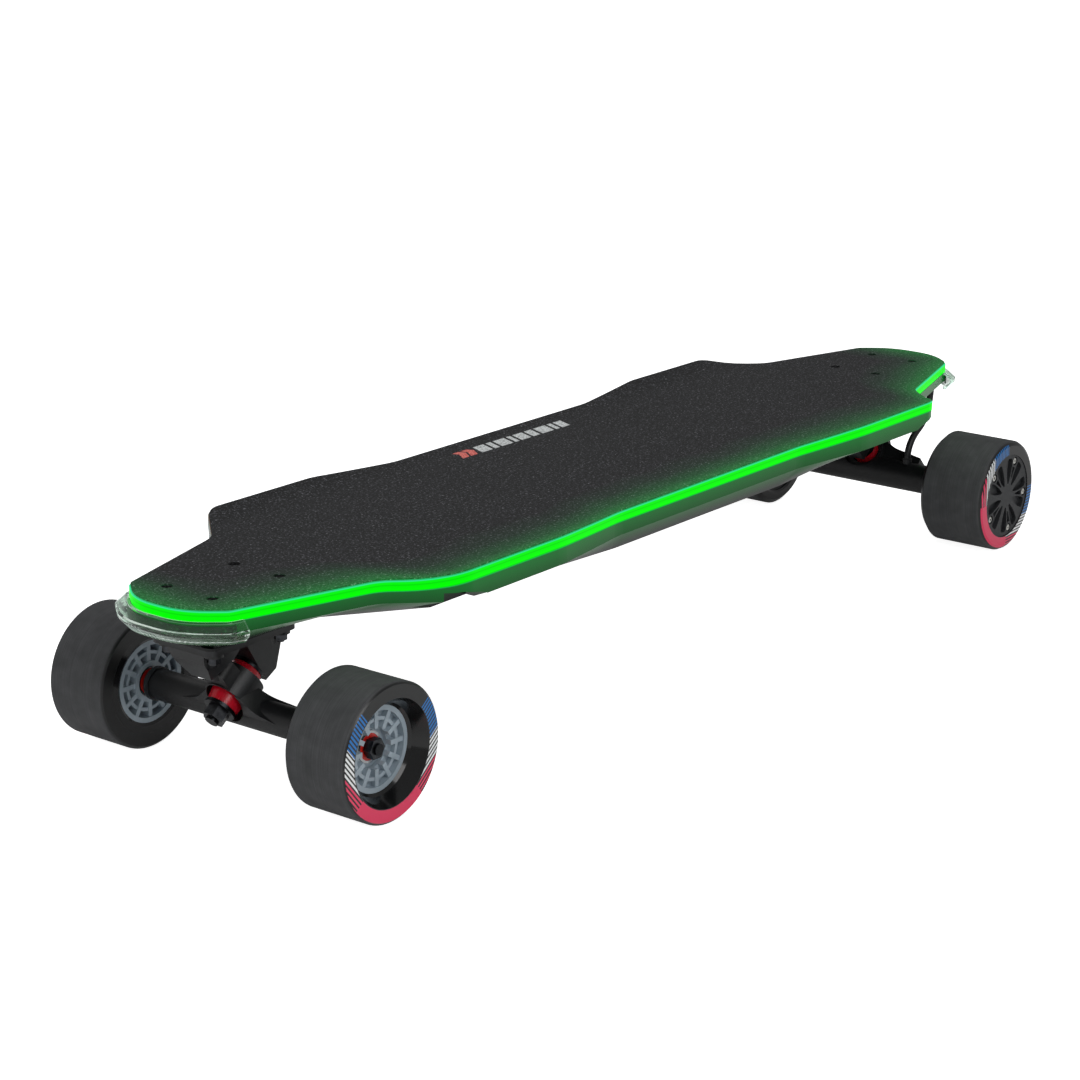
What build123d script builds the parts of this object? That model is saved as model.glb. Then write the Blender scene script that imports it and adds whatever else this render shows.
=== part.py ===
from build123d import *
from math import cos, radians, sin
import os

# A battery-electric longboard. Millimetres, +Z up, +X towards the nose, +Y towards the board's left.
# The origin is on the ground below the middle of the board.

os.makedirs("parts", exist_ok=True)


def write(piece, label):
    """Label a finished piece and write it as one STEP file."""
    piece.part.label = label
    export_step(piece.part, "parts/" + label + ".step")


# ---------------------------------------------------------------- driving sizes
# Board, seen from above. Each corner of the outline is a point with its own corner radius.
tip_x = 480.5
tip_half = 22.0
end_x = 460.5
end_half = 45.5
neck_x = 351.0
neck_half = 77.0
shoulder_x = 312.5
wide_half = 118.0
flare_x = 203.0
waist_x = 122.0
waist_half = 106.5
corner_radii = [48.0, 10.0, 30.0, 24.0, 80.0, 80.0]

# Underside flat of the shell, seen from above.
keel_tip_x = 461.0
keel_tip_half = 14.0
keel_end_x = 456.0
keel_end_half = 29.0
keel_neck_x = 372.0
keel_neck_half = 32.0
keel_shoulder_x = 292.0
keel_wide_half = 87.0
keel_flare_x = 203.0
keel_waist_x = 110.0
keel_waist_half = 95.0
keel_radii = [20.0, 5.0, 30.0, 24.0, 80.0, 80.0]

# Board, seen along its length. The standing surface is flat and turns up into a rail at each side.
deck_z = 140.8
rail_start = 88.0
rail_radius = 95.0
rail_sweep = 28.0
grip_thick = 1.0
core_lip = 0.7
strip_height = 6.8
gasket_thick = 0.8
chine_z = 124.0
keel_z = 109.5
strip_depth = 5.0
circuit_thick = 0.6
grip_inset = 1.0
lip_inset = 0.8
shell_inset = 0.3

# Trucks. They sit a little towards the nose of the board's middle.
wheelbase = 804.0
truck_shift = 3.5
axle_z = 48.0
bolt_offset = 13.0
bolt_long = 63.5
bolt_wide = 41.3
bolt_radius = 2.5
bolt_head_radius = 3.8
bolt_sink = 1.4
riser_thick = 2.0
plate_thick = 4.0
plate_boss = 2.5
plate_long = 83.0
plate_wide = 56.0
deck_nut_thick = 5.0
deck_nut_flats = 8.0

# Kingpin line: through the middle of the hanger ring, leaning down towards the end of the board.
ring_ahead = 8.0
ring_z = 61.5
kingpin_lean = 38.0
kingpin_radius = 4.75
kingpin_flats = 14.3
kingpin_nut_thick = 8.0
kingpin_head_thick = 6.0
bushing_radius = 13.0
bushing_end_radius = 11.0
washer_radius = 11.5
washer_thick = 2.5
road_seat = 1.0
road_washer = 12.8
board_seat = -6.0
board_washer = -19.5
ring_back = -14.0
ring_hole = 9.0
pocket_gap = 2.3
swing_room = 19.0
tube_radius = 11.0
tube_half = 79.5
motor_tube_radius = 12.5
collar_step = 1.0

# Wheels.
wheel_radius = 48.0
front_outer = 134.5
front_inner = 83.5
core_radius = 29.5
core_outer = 122.0
sidewall_radius = 36.8
rear_outer = 146.3
rear_inner = 86.0
can_radius = 36.0
bearing_radius = 11.0
bearing_width = 7.0
axle_radius = 4.0
motor_axle_radius = 6.0
running_gap = 0.05
body_gap = 0.3

front_x = wheelbase / 2 + truck_shift
rear_x = wheelbase / 2 - truck_shift


# ---------------------------------------------------------------- board
def ring_of_corners(quarter):
    """Mirror one quarter's corners into the whole closed outline, anticlockwise."""
    nose_left = quarter
    tail_left = [(-x, y) for x, y in reversed(quarter)]
    tail_right = [(-x, -y) for x, y in quarter]
    nose_right = [(x, -y) for x, y in reversed(quarter)]
    return nose_left + tail_left + tail_right + nose_right


def ring_of_radii(quarter):
    return quarter + quarter[::-1] + quarter + quarter[::-1]


deck_quarter = [
    (tip_x, tip_half),
    (end_x, end_half),
    (neck_x, neck_half),
    (shoulder_x, wide_half),
    (flare_x, wide_half),
    (waist_x, waist_half),
]
keel_quarter = [
    (keel_tip_x, keel_tip_half),
    (keel_end_x, keel_end_half),
    (keel_neck_x, keel_neck_half),
    (keel_shoulder_x, keel_wide_half),
    (keel_flare_x, keel_wide_half),
    (keel_waist_x, keel_waist_half),
]


def outline(quarter, radii, inset=0.0):
    """Flat closed outline from one quarter's corners, drawn in by an inset."""
    with BuildSketch() as plan:
        with BuildLine():
            FilletPolyline(*ring_of_corners(quarter), radius=ring_of_radii(radii), close=True)
        make_face()
        if inset != 0:
            offset(amount=-inset)
    return plan.sketch


def deck_plan(inset):
    return outline(deck_quarter, corner_radii, inset)


def board_layer(top, bottom, inset, hollow_inset=None):
    """One layer of the board between two depths, with the plan outline drawn in by an inset."""
    centre_z = deck_z + rail_radius
    with BuildPart() as layer:
        with BuildSketch(Plane.YZ):
            with BuildLine():
                upper = CenterArc((rail_start, centre_z), rail_radius + top, -90, rail_sweep)
                lower = CenterArc((rail_start, centre_z), rail_radius + bottom, -90, rail_sweep)
                Line(upper @ 1, lower @ 1)
                Line(upper @ 0, (0, deck_z - top))
                Line(lower @ 0, (0, deck_z - bottom))
                Line((0, deck_z - top), (0, deck_z - bottom))
            make_face()
            mirror(about=Plane.YZ)
        extrude(amount=tip_x + 1, both=True)
        extrude(deck_plan(inset), amount=2 * deck_z, mode=Mode.INTERSECT)
        if hollow_inset is not None:
            extrude(deck_plan(hollow_inset), amount=2 * deck_z, mode=Mode.SUBTRACT)
    return layer.part


strip_top = grip_thick + core_lip
strip_bottom = strip_top + strip_height
shell_top = strip_bottom + gasket_thick
circuit_inset = strip_depth + circuit_thick

truck_sides = [(front_x + bolt_offset, 1), (-rear_x - bolt_offset, -1)]
bolt_spots = [
    (x + dx * bolt_long / 2, dy * bolt_wide / 2)
    for x, end in truck_sides
    for dx in (-1, 1)
    for dy in (-1, 1)
]
head_z = deck_z - bolt_sink
bolt_hole_radius = bolt_radius + 0.2

# Battery bay in the shell, and the screws that close it along both sides.
bay_half_long = 285.0
bay_half_wide = 77.0
bay_floor = keel_z + 2.5
screw_y = 83.0
screw_pitch = 80.0
screw_head_radius = 3.5
screw_head_thick = 2.2
screw_radius = 2.0
screw_bite = 4.0
socket_radius = 1.3
core_under_z = deck_z - strip_bottom
screw_spots = [(screw_pitch * (i - 3), side * screw_y) for i in range(7) for side in (-1, 1)]

# Grip tape: a gritty skin with a clear hole over each deck bolt.
with BuildPart() as grip_tape:
    add(board_layer(0, grip_thick, grip_inset))
    with Locations(*[(x, y, deck_z) for x, y in bolt_spots]):
        Hole(radius=bolt_head_radius + 0.4, depth=2 * grip_thick)
write(grip_tape, "grip_tape")

# Board core: laminated wood and glass, with a rebate round its edge for the light strip.
core_upper = board_layer(grip_thick, strip_top, lip_inset)
core_lower = board_layer(strip_top, strip_bottom, circuit_inset)
with BuildPart() as deck_core:
    add(core_upper)
    add(core_lower)
    with Locations(*[(x, y, head_z) for x, y in bolt_spots]):
        CounterSinkHole(
            radius=bolt_hole_radius,
            counter_sink_radius=bolt_head_radius + 0.1,
            depth=strip_bottom + 5,
            counter_sink_angle=90,
        )
    with Locations(*[(x, y, head_z) for x, y in bolt_spots]):
        Cylinder(bolt_head_radius + 0.1, 5, align=(Align.CENTER, Align.CENTER, Align.MIN), mode=Mode.SUBTRACT)
    with Locations(*[(x, y, core_under_z) for x, y in screw_spots]):
        Cylinder(screw_radius + running_gap, 2 * (screw_bite + 0.5), mode=Mode.SUBTRACT)
write(deck_core, "deck_core")

# Flexible light circuit wrapped round the core, behind the strip.
with BuildPart() as light_circuit:
    add(board_layer(strip_top, strip_bottom, strip_depth, circuit_inset))
write(light_circuit, "light_circuit")

# Milky edge strip. The left length runs on round the nose; the right length is on its own circuit.
strip_ring = board_layer(strip_top, strip_bottom, 0, strip_depth)
strip_split_x = end_x - 2
right_box = Pos(strip_split_x - 600, -300, 0) * Box(1200, 600, 400)
with BuildPart() as light_strip_left:
    add(strip_ring)
    add(right_box, mode=Mode.SUBTRACT)
write(light_strip_left, "light_strip_left")
with BuildPart() as light_strip_right:
    add(strip_ring)
    add(right_box, mode=Mode.INTERSECT)
write(light_strip_right, "light_strip_right")

# Rubber gasket between the core and the shell, with the battery bay open.
with BuildPart() as shell_gasket:
    add(board_layer(strip_bottom, shell_top, lip_inset))
    Box(2 * bay_half_long, 2 * bay_half_wide, 3 * deck_z, mode=Mode.SUBTRACT)
    with Locations(*[(x, y, core_under_z) for x, y in bolt_spots]):
        Cylinder(bolt_hole_radius, 6, mode=Mode.SUBTRACT)
    with Locations(*[(x, y, core_under_z) for x, y in screw_spots]):
        Cylinder(screw_radius + running_gap, 6, mode=Mode.SUBTRACT)
write(shell_gasket, "shell_gasket")

# Power button and charge port, one behind the other under the tail end of the bay.
button_x = -150.0
button_radius = 8.0
button_travel = 1.0
bezel_radius = 11.5
bezel_lip = 0.8
port_x = -190.0
port_radius = 7.0
port_flange = 10.0
service_hole_gap = 0.1

# Cable exits under the tail neck, one each side.
cable_radius = 3.0
exit_x = -436.0
exit_y = 45.0
exit_top = 124.0

# Outside the neck, the shell's underside rises towards each shoulder.
shoulder_rise = [
    (shoulder_x - 50, keel_z - 1),
    (shoulder_x + 9, keel_z - 1),
    (shoulder_x + 9, deck_z - shell_top - 1.5),
    (shoulder_x - 2, deck_z - shell_top - 1.5),
    (shoulder_x - 20, chine_z + 2),
    (shoulder_x - 38, chine_z - 5),
]
with BuildPart() as shoulder_solid:
    with BuildSketch(Plane.XZ.offset(-neck_half - 3)):
        Polygon(*shoulder_rise, align=None)
    extrude(amount=neck_half - wide_half - 5)
near_shoulders = [shoulder_solid.part, shoulder_solid.part.mirror(Plane.YZ)]
shoulder_cuts = near_shoulders + [cut.mirror(Plane.XZ) for cut in near_shoulders]

# Moulded shell: vertical side, chine, then a long bevel to the flat keel.
shell_body = board_layer(shell_top, 60, shell_inset)
with BuildPart() as under_shell:
    with BuildSketch(Plane.XY.offset(keel_z)):
        add(outline(keel_quarter, keel_radii))
    with BuildSketch(Plane.XY.offset(chine_z)):
        add(outline(deck_quarter, corner_radii))
    loft(ruled=True)
    extrude(deck_plan(0).moved(Location((0, 0, chine_z))), amount=30)
    add(shell_body, mode=Mode.INTERSECT)
    add(shoulder_cuts, mode=Mode.SUBTRACT)
    with BuildSketch(Plane.XY.offset(bay_floor)):
        RectangleRounded(2 * bay_half_long, 2 * bay_half_wide, 12)
    extrude(amount=50, mode=Mode.SUBTRACT)
    with Locations(*[(x, y, keel_z) for x, y in bolt_spots]):
        Cylinder(bolt_hole_radius, 100, mode=Mode.SUBTRACT)
    with Locations(*[(x, y, keel_z) for x, y in screw_spots]):
        Cylinder(screw_radius + running_gap, 100, mode=Mode.SUBTRACT)
        Cylinder(screw_head_radius + 0.2, 2 * (screw_head_thick + 0.3), mode=Mode.SUBTRACT)
    with Locations((button_x, 0, keel_z)):
        Cylinder(bezel_radius - 1.5, 20, mode=Mode.SUBTRACT)
    with Locations((port_x, 0, keel_z)):
        Cylinder(port_radius + service_hole_gap, 20, mode=Mode.SUBTRACT)
    with Locations(*[(exit_x, side * exit_y, exit_top) for side in (-1, 1)]):
        Cylinder(
            cable_radius,
            exit_top - keel_z,
            align=(Align.CENTER, Align.CENTER, Align.MAX),
            mode=Mode.SUBTRACT,
        )
write(under_shell, "under_shell")

with BuildPart() as shell_screws:
    with Locations(*[(x, y, keel_z + 0.3) for x, y in screw_spots]):
        Cylinder(screw_head_radius, screw_head_thick, align=(Align.CENTER, Align.CENTER, Align.MIN))
    with Locations(*[(x, y, keel_z + 0.3) for x, y in screw_spots]):
        Cylinder(
            screw_radius,
            core_under_z + screw_bite - keel_z - 0.3,
            align=(Align.CENTER, Align.CENTER, Align.MIN),
        )
    with Locations(*[(x, y, keel_z + 0.3) for x, y in screw_spots]):
        Cylinder(socket_radius, 2 * socket_radius, mode=Mode.SUBTRACT)
write(shell_screws, "shell_screws")

# ---------------------------------------------------------------- inside the shell
pack_long = 380.0
pack_wide = 2 * bay_half_wide - 10
pack_thick = 15.0
pack_x = 80.0
controller_long = 150.0
controller_wide = 110.0
controller_thick = 14.0
controller_x = -200.0
fin_pitch = 11.0
fin_depth = 5.0

with BuildPart() as battery_pack:
    with Locations((pack_x, 0, bay_floor)):
        Box(pack_long, pack_wide, pack_thick, align=(Align.CENTER, Align.CENTER, Align.MIN))
    fillet(battery_pack.edges().filter_by(Axis.Z), radius=6)
    fillet(battery_pack.edges().group_by(Axis.Z)[-1], radius=4)
write(battery_pack, "battery_pack")

controller_z = keel_z + 10.5
with BuildPart() as motor_controller:
    with Locations((controller_x, 0, controller_z)):
        Box(controller_long, controller_wide, controller_thick - 4, align=(Align.CENTER, Align.CENTER, Align.MIN))
    fillet(motor_controller.edges().filter_by(Axis.Z), radius=5)
    with Locations((controller_x, 0, controller_z + controller_thick - 4 - fin_depth)):
        with GridLocations(0, fin_pitch, 1, 9):
            Box(
                controller_long - 20,
                fin_pitch / 2,
                2 * fin_depth,
                align=(Align.CENTER, Align.CENTER, Align.MIN),
                mode=Mode.SUBTRACT,
            )
write(motor_controller, "motor_controller")

# Power button: a bezel pressed into the shell, with a sprung cap that travels inside it.
with BuildPart() as power_button_bezel:
    with BuildSketch(Plane.XZ.offset(0)):
        with BuildLine():
            Polyline(
                (button_x + button_radius + service_hole_gap, keel_z - bezel_lip),
                (button_x + bezel_radius, keel_z - bezel_lip),
                (button_x + bezel_radius, keel_z),
                (button_x + bezel_radius - 1.5, keel_z),
                (button_x + bezel_radius - 1.5, keel_z + 6),
                (button_x + button_radius + service_hole_gap, keel_z + 6),
                close=True,
            )
        make_face()
    revolve(axis=Axis((button_x, 0, 0), (0, 0, 1)))
write(power_button_bezel, "power_button_bezel")

with BuildPart() as power_button:
    with Locations((button_x, 0, keel_z - bezel_lip)):
        Cylinder(button_radius, 5, align=(Align.CENTER, Align.CENTER, Align.MIN))
    chamfer(power_button.edges().group_by(Axis.Z)[0], length=0.5)
write(power_button, "power_button")

with BuildPart() as charge_port:
    with Locations((port_x, 0, keel_z - 1)):
        Cylinder(port_flange, 1, align=(Align.CENTER, Align.CENTER, Align.MIN))
    with Locations((port_x, 0, keel_z)):
        Cylinder(port_radius, 9, align=(Align.CENTER, Align.CENTER, Align.MIN))
    with Locations((port_x, 0, keel_z - 1)):
        Cylinder(port_radius - 2, 16, mode=Mode.SUBTRACT)
write(charge_port, "charge_port")

with BuildPart() as charge_port_plug:
    with Locations((port_x, 0, keel_z - 1)):
        Cylinder(port_radius, 1.2, align=(Align.CENTER, Align.CENTER, Align.MAX))
        Cylinder(port_radius - 2, 5, align=(Align.CENTER, Align.CENTER, Align.MIN))
write(charge_port_plug, "charge_port_plug")

# ---------------------------------------------------------------- bumper lenses
# Clear moulded lens wrapped round each end below the light strip, over a small lamp board.
lens_end_x = end_x + 1.0
lens_gap = 0.4
lens_top_z = deck_z - shell_top + 1.2
lens_section = [
    (lens_gap, 0.0),
    (2.6, 0.6),
    (9.4, -5.6),
    (9.0, -8.6),
    (3.4, -14.6),
    (lens_gap, -15.0),
    (lens_gap, -12.6),
    (2.4, -12.2),
    (6.4, -8.0),
    (6.6, -6.0),
    (1.8, -1.9),
    (lens_gap, -2.2),
]
lamp_board_section = [(lens_gap, -3.4), (1.4, -3.4), (1.4, -10.6), (lens_gap, -10.6)]


def end_wrap(section, along):
    """Sweep a section, outward and up from the board's edge, round the nose."""
    side_slope = (neck_half - end_half) / (end_x - neck_x)
    start = (end_x - along, end_half + side_slope * along)
    with BuildPart() as wrap:
        with BuildLine(Plane.XY.offset(lens_top_z)) as path:
            FilletPolyline(
                start,
                (end_x, end_half),
                (tip_x, tip_half),
                (tip_x, -tip_half),
                (end_x, -end_half),
                (start[0], -start[1]),
                radius=[corner_radii[1], corner_radii[0] - 6, corner_radii[0] - 6, corner_radii[1]],
            )
        tangent = path.line % 0
        with BuildSketch(Plane(path.line @ 0, x_dir=(-tangent.Y, tangent.X, 0), z_dir=tangent)):
            Polygon(*section, align=None)
        sweep()
    return wrap.part


nose_wrap = end_wrap(lens_section, 9.0)
lamp_wrap = end_wrap(lamp_board_section, 4.0)
with BuildPart() as nose_lens:
    add(nose_wrap)
write(nose_lens, "nose_lens")
with BuildPart() as tail_lens:
    add(nose_wrap)
    mirror(about=Plane.YZ, mode=Mode.REPLACE)
write(tail_lens, "tail_lens")
with BuildPart() as nose_lamp_board:
    add(lamp_wrap)
write(nose_lamp_board, "nose_lamp_board")
with BuildPart() as tail_lamp_board:
    add(lamp_wrap)
    mirror(about=Plane.YZ, mode=Mode.REPLACE)
write(tail_lamp_board, "tail_lamp_board")

# ---------------------------------------------------------------- deck bolts, nuts and risers
riser_z = keel_z - riser_thick
plate_z = riser_z - plate_thick
nut_top_z = plate_z - plate_boss

with BuildPart() as deck_bolts:
    with Locations(*[(x, y, head_z) for x, y in bolt_spots]):
        Cylinder(
            bolt_radius,
            head_z - nut_top_z + deck_nut_thick + 1,
            align=(Align.CENTER, Align.CENTER, Align.MAX),
        )
    with Locations(*[(x, y, head_z - (bolt_head_radius - bolt_radius) / 2) for x, y in bolt_spots]):
        Cone(bolt_radius, bolt_head_radius, bolt_head_radius - bolt_radius)
    with Locations(*[(x, y, head_z) for x, y in bolt_spots]):
        Cylinder(1.7, 3.4, mode=Mode.SUBTRACT)
write(deck_bolts, "deck_bolts")

with BuildPart() as deck_nuts:
    with BuildSketch(Plane.XY.offset(nut_top_z - deck_nut_thick)):
        with Locations(*bolt_spots):
            RegularPolygon(deck_nut_flats / 2, 6, major_radius=False)
        with Locations(*bolt_spots):
            Circle(bolt_radius, mode=Mode.SUBTRACT)
    extrude(amount=deck_nut_thick)
    chamfer(deck_nuts.edges().filter_by(GeomType.LINE).group_by(Axis.Z)[0], length=0.6)
write(deck_nuts, "deck_nuts")

with BuildPart() as riser_pads:
    with BuildSketch(Plane.XY.offset(riser_z)):
        with Locations(*[(x, 0) for x, end in truck_sides]):
            RectangleRounded(plate_long, plate_wide, 6)
        with Locations(*bolt_spots):
            Circle(bolt_hole_radius, mode=Mode.SUBTRACT)
    extrude(amount=riser_thick)
write(riser_pads, "riser_pads")

# ---------------------------------------------------------------- trucks
# One truck is drawn with its axle at x = 0 and its kingpin nut towards +X, then set in place.
lean_cos = cos(radians(kingpin_lean))
lean_sin = sin(radians(kingpin_lean))
plate_x = bolt_offset
truck_bolts = [
    (plate_x + dx * bolt_long / 2, dy * bolt_wide / 2) for dx in (-1, 1) for dy in (-1, 1)
]


class Truck:
    """The kingpin line of one truck; stack is how far its bushings sit down that line."""

    def __init__(self, stack):
        self.x = ring_ahead + stack * lean_cos
        self.z = ring_z - stack * lean_sin

    def at(self, along, up):
        """Point in the truck's side view: along the kingpin, and up the steering axis."""
        return (
            self.x + along * lean_cos + up * lean_sin,
            self.z - along * lean_sin + up * lean_cos,
        )

    def across(self, along):
        """Plane square to the kingpin, with x across the board and y up the steering axis."""
        x, z = self.at(along, 0)
        return Plane(origin=(x, 0, z), x_dir=(0, 1, 0), z_dir=(lean_cos, 0, -lean_sin))

    def above(self, up):
        """Plane square to the steering axis."""
        x, z = self.at(0, up)
        return Plane(origin=(x, 0, z), x_dir=(0, 1, 0), z_dir=(lean_sin, 0, lean_cos))


block_face = board_washer - washer_thick
block_low = -13.0
block_back_x = -26.0
block_top_half = 17.0
block_low_half = 8.0
pivot_face = 31.0
pivot_depth = 15.0
pivot_radius = 6.0
cup_radius = 8.5
pivot_back = -9.0
head_start = -36.0
head_room = 8.6


def side_prism(points, half):
    """Solid of a side-view outline, to both sides of the middle."""
    with BuildPart() as prism:
        with BuildSketch(Plane.XZ):
            Polygon(*points, align=None)
        extrude(amount=half, both=True)
    return prism.part


def front_taper(low_half, low_z, top_half, top_z):
    """Solid that narrows downwards, seen along the board."""
    with BuildPart() as taper:
        with BuildSketch(Plane.YZ):
            Polygon(
                (-low_half, low_z),
                (low_half, low_z),
                (top_half, top_z),
                (-top_half, top_z),
                align=None,
            )
        extrude(amount=120, both=True)
    return taper.part


def make_baseplate(truck, pivot_front):
    """Base plate with a kingpin block and a pivot block hanging below it."""
    face_low = truck.at(block_face, block_low)
    rise = (plate_z - truck.at(block_face, 0)[1]) / lean_cos
    face_top = truck.at(block_face, rise)
    back_run = (face_low[0] - block_back_x) / lean_cos
    back_low = (block_back_x, face_low[1] + back_run * lean_sin)
    kingpin_block = side_prism(
        [face_low, face_top, (block_back_x, plate_z), back_low],
        block_top_half,
    )
    tip = truck.at(pivot_front, pivot_face)
    heel = truck.at(pivot_back, pivot_face)
    toe = (tip[0] + 12, tip[1] + 15)
    pivot_block = side_prism(
        [tip, toe, (toe[0] + 3, plate_z), (heel[0] - 3, plate_z), heel],
        block_top_half + 4,
    )
    with BuildPart() as baseplate:
        add(kingpin_block)
        add(front_taper(block_low_half, face_low[1], block_top_half, plate_z), mode=Mode.INTERSECT)
    with BuildPart() as pivot_part:
        add(pivot_block)
        add(front_taper(block_low_half + 1, tip[1], block_top_half + 4, plate_z), mode=Mode.INTERSECT)
    with BuildPart() as whole:
        with BuildSketch(Plane.XY.offset(plate_z)):
            with Locations((plate_x, 0)):
                RectangleRounded(plate_long, plate_wide, 6)
        extrude(amount=plate_thick)
        with BuildSketch(Plane.XY.offset(nut_top_z)):
            with Locations(*truck_bolts):
                Circle(6.5)
        extrude(amount=plate_boss)
        add(baseplate.part)
        add(pivot_part.part)
        with Locations(*[(x, y, plate_z) for x, y in truck_bolts]):
            Cylinder(bolt_hole_radius, 30, mode=Mode.SUBTRACT)
        with Locations(*[(x, y, nut_top_z) for x, y in truck_bolts]):
            Cylinder(6.5, 40, align=(Align.CENTER, Align.CENTER, Align.MAX), mode=Mode.SUBTRACT)
        with BuildSketch(truck.across(block_face + 1)):
            Circle(kingpin_radius)
        extrude(amount=-80, mode=Mode.SUBTRACT)
        with BuildSketch(truck.across(head_start)):
            Circle(head_room)
        extrude(amount=-40, mode=Mode.SUBTRACT)
        with BuildSketch(truck.above(pivot_face - 1)):
            Circle(cup_radius)
        extrude(amount=pivot_depth + 1, mode=Mode.SUBTRACT)
    return whole.part


front_web_nut_side = [(8.5, 26.0), (11.0, 10.0), (28.0, -3.0), (54.0, -11.0), (54.0, -17.0)]
front_web_board_side = [(8.0, 26.0), (10.0, 9.0), (19.0, -10.0), (54.0, -15.5), (54.0, -17.0)]
rear_web_nut_side = [(8.5, 26.0), (12.0, 14.0), (30.0, 7.0), (54.0, 0.0), (54.0, -10.0)]
rear_web_board_side = [(8.0, 26.0), (11.0, 15.0), (26.0, 8.0), (54.0, 3.0), (54.0, -8.0)]
hanger_radii = [7.0, 14.0, 20.0, 0.6, 0.6]
boss_radius = 16.5
nut_start = road_washer + washer_thick


def mirrored(half):
    return half + [(-y, up) for y, up in reversed(half)]


def hanger_outline(plane, half):
    with BuildSketch(plane) as face:
        with BuildLine():
            FilletPolyline(*mirrored(half), radius=hanger_radii + hanger_radii[::-1], close=True)
        make_face()
    return face.sketch


def make_hanger(truck, web_halves, tube, hole, hole_start, collar):
    """A-shaped hanger: web square to the kingpin, ring for the bushings, tube for the axle."""
    web_sides = [
        truck.at(-10, 30),
        truck.at(1.9, 30),
        truck.at(9.5, -5),
        truck.at(12, -20),
        truck.at(-10, -20),
    ]
    with BuildPart() as web:
        add(hanger_outline(truck.across(11), web_halves[0]))
        add(hanger_outline(truck.across(-11), web_halves[1]))
        loft(ruled=True)
        add(side_prism(web_sides, 80), mode=Mode.INTERSECT)
    with BuildPart() as whole:
        add(web.part)
        with Locations((0, 0, axle_z)):
            Cylinder(tube, 2 * tube_half, rotation=(90, 0, 0))
        for side in (-1, 1):
            with Locations((0, side * (tube_half - collar / 2), axle_z)):
                Cylinder(tube + collar_step, collar, rotation=(90, 0, 0))
        with BuildSketch(truck.across(ring_back)):
            Circle(boss_radius)
        extrude(amount=6 - ring_back)
        with BuildSketch(truck.above(20)):
            Circle(pivot_radius)
        extrude(amount=pivot_face + pivot_depth - 21.5)
        with BuildSketch(truck.across(road_seat)):
            Circle(bushing_radius + pocket_gap)
        extrude(amount=30, mode=Mode.SUBTRACT)
        with BuildSketch(truck.across(board_seat)):
            Circle(bushing_radius + body_gap)
        extrude(amount=-30, mode=Mode.SUBTRACT)
        with BuildSketch(truck.across(-30)):
            Circle(ring_hole)
        extrude(amount=60, mode=Mode.SUBTRACT)
        with BuildSketch(truck.across(ring_back)):
            Circle(swing_room)
        extrude(amount=-30, mode=Mode.SUBTRACT)
        for side in (-1, 1):
            with Locations((0, side * (hole_start + tube_half), axle_z)):
                Cylinder(hole, 2 * tube_half, rotation=(90, 0, 0), mode=Mode.SUBTRACT)
    return whole.part


def kingpin_ring(truck, start, end, start_radius, end_radius):
    """Round piece threaded on the kingpin, straight or tapered."""
    with BuildPart() as ring:
        with BuildSketch(truck.across(start)):
            Circle(start_radius)
        with BuildSketch(truck.across(end)):
            Circle(end_radius)
        loft()
        with BuildSketch(truck.across(start - 1)):
            Circle(kingpin_radius)
        extrude(amount=end - start + 2, mode=Mode.SUBTRACT)
    return ring.part


def make_kingpin(truck):
    with BuildPart() as pin:
        with BuildSketch(truck.across(head_start)):
            Circle(kingpin_radius)
        extrude(amount=nut_start + kingpin_nut_thick + 2 - head_start)
        with BuildSketch(truck.across(head_start)):
            RegularPolygon(kingpin_flats / 2, 6, major_radius=False)
        extrude(amount=-kingpin_head_thick)
    return pin.part


def make_kingpin_nut(truck):
    with BuildPart() as nut:
        with BuildSketch(truck.across(nut_start)):
            RegularPolygon(kingpin_flats / 2, 6, major_radius=False)
            Circle(kingpin_radius, mode=Mode.SUBTRACT)
        extrude(amount=kingpin_nut_thick)
    return nut.part


def set_front(shape):
    return Pos(front_x, 0, 0) * shape


def set_rear(shape):
    return Pos(-rear_x, 0, 0) * shape.mirror(Plane.YZ)


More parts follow.
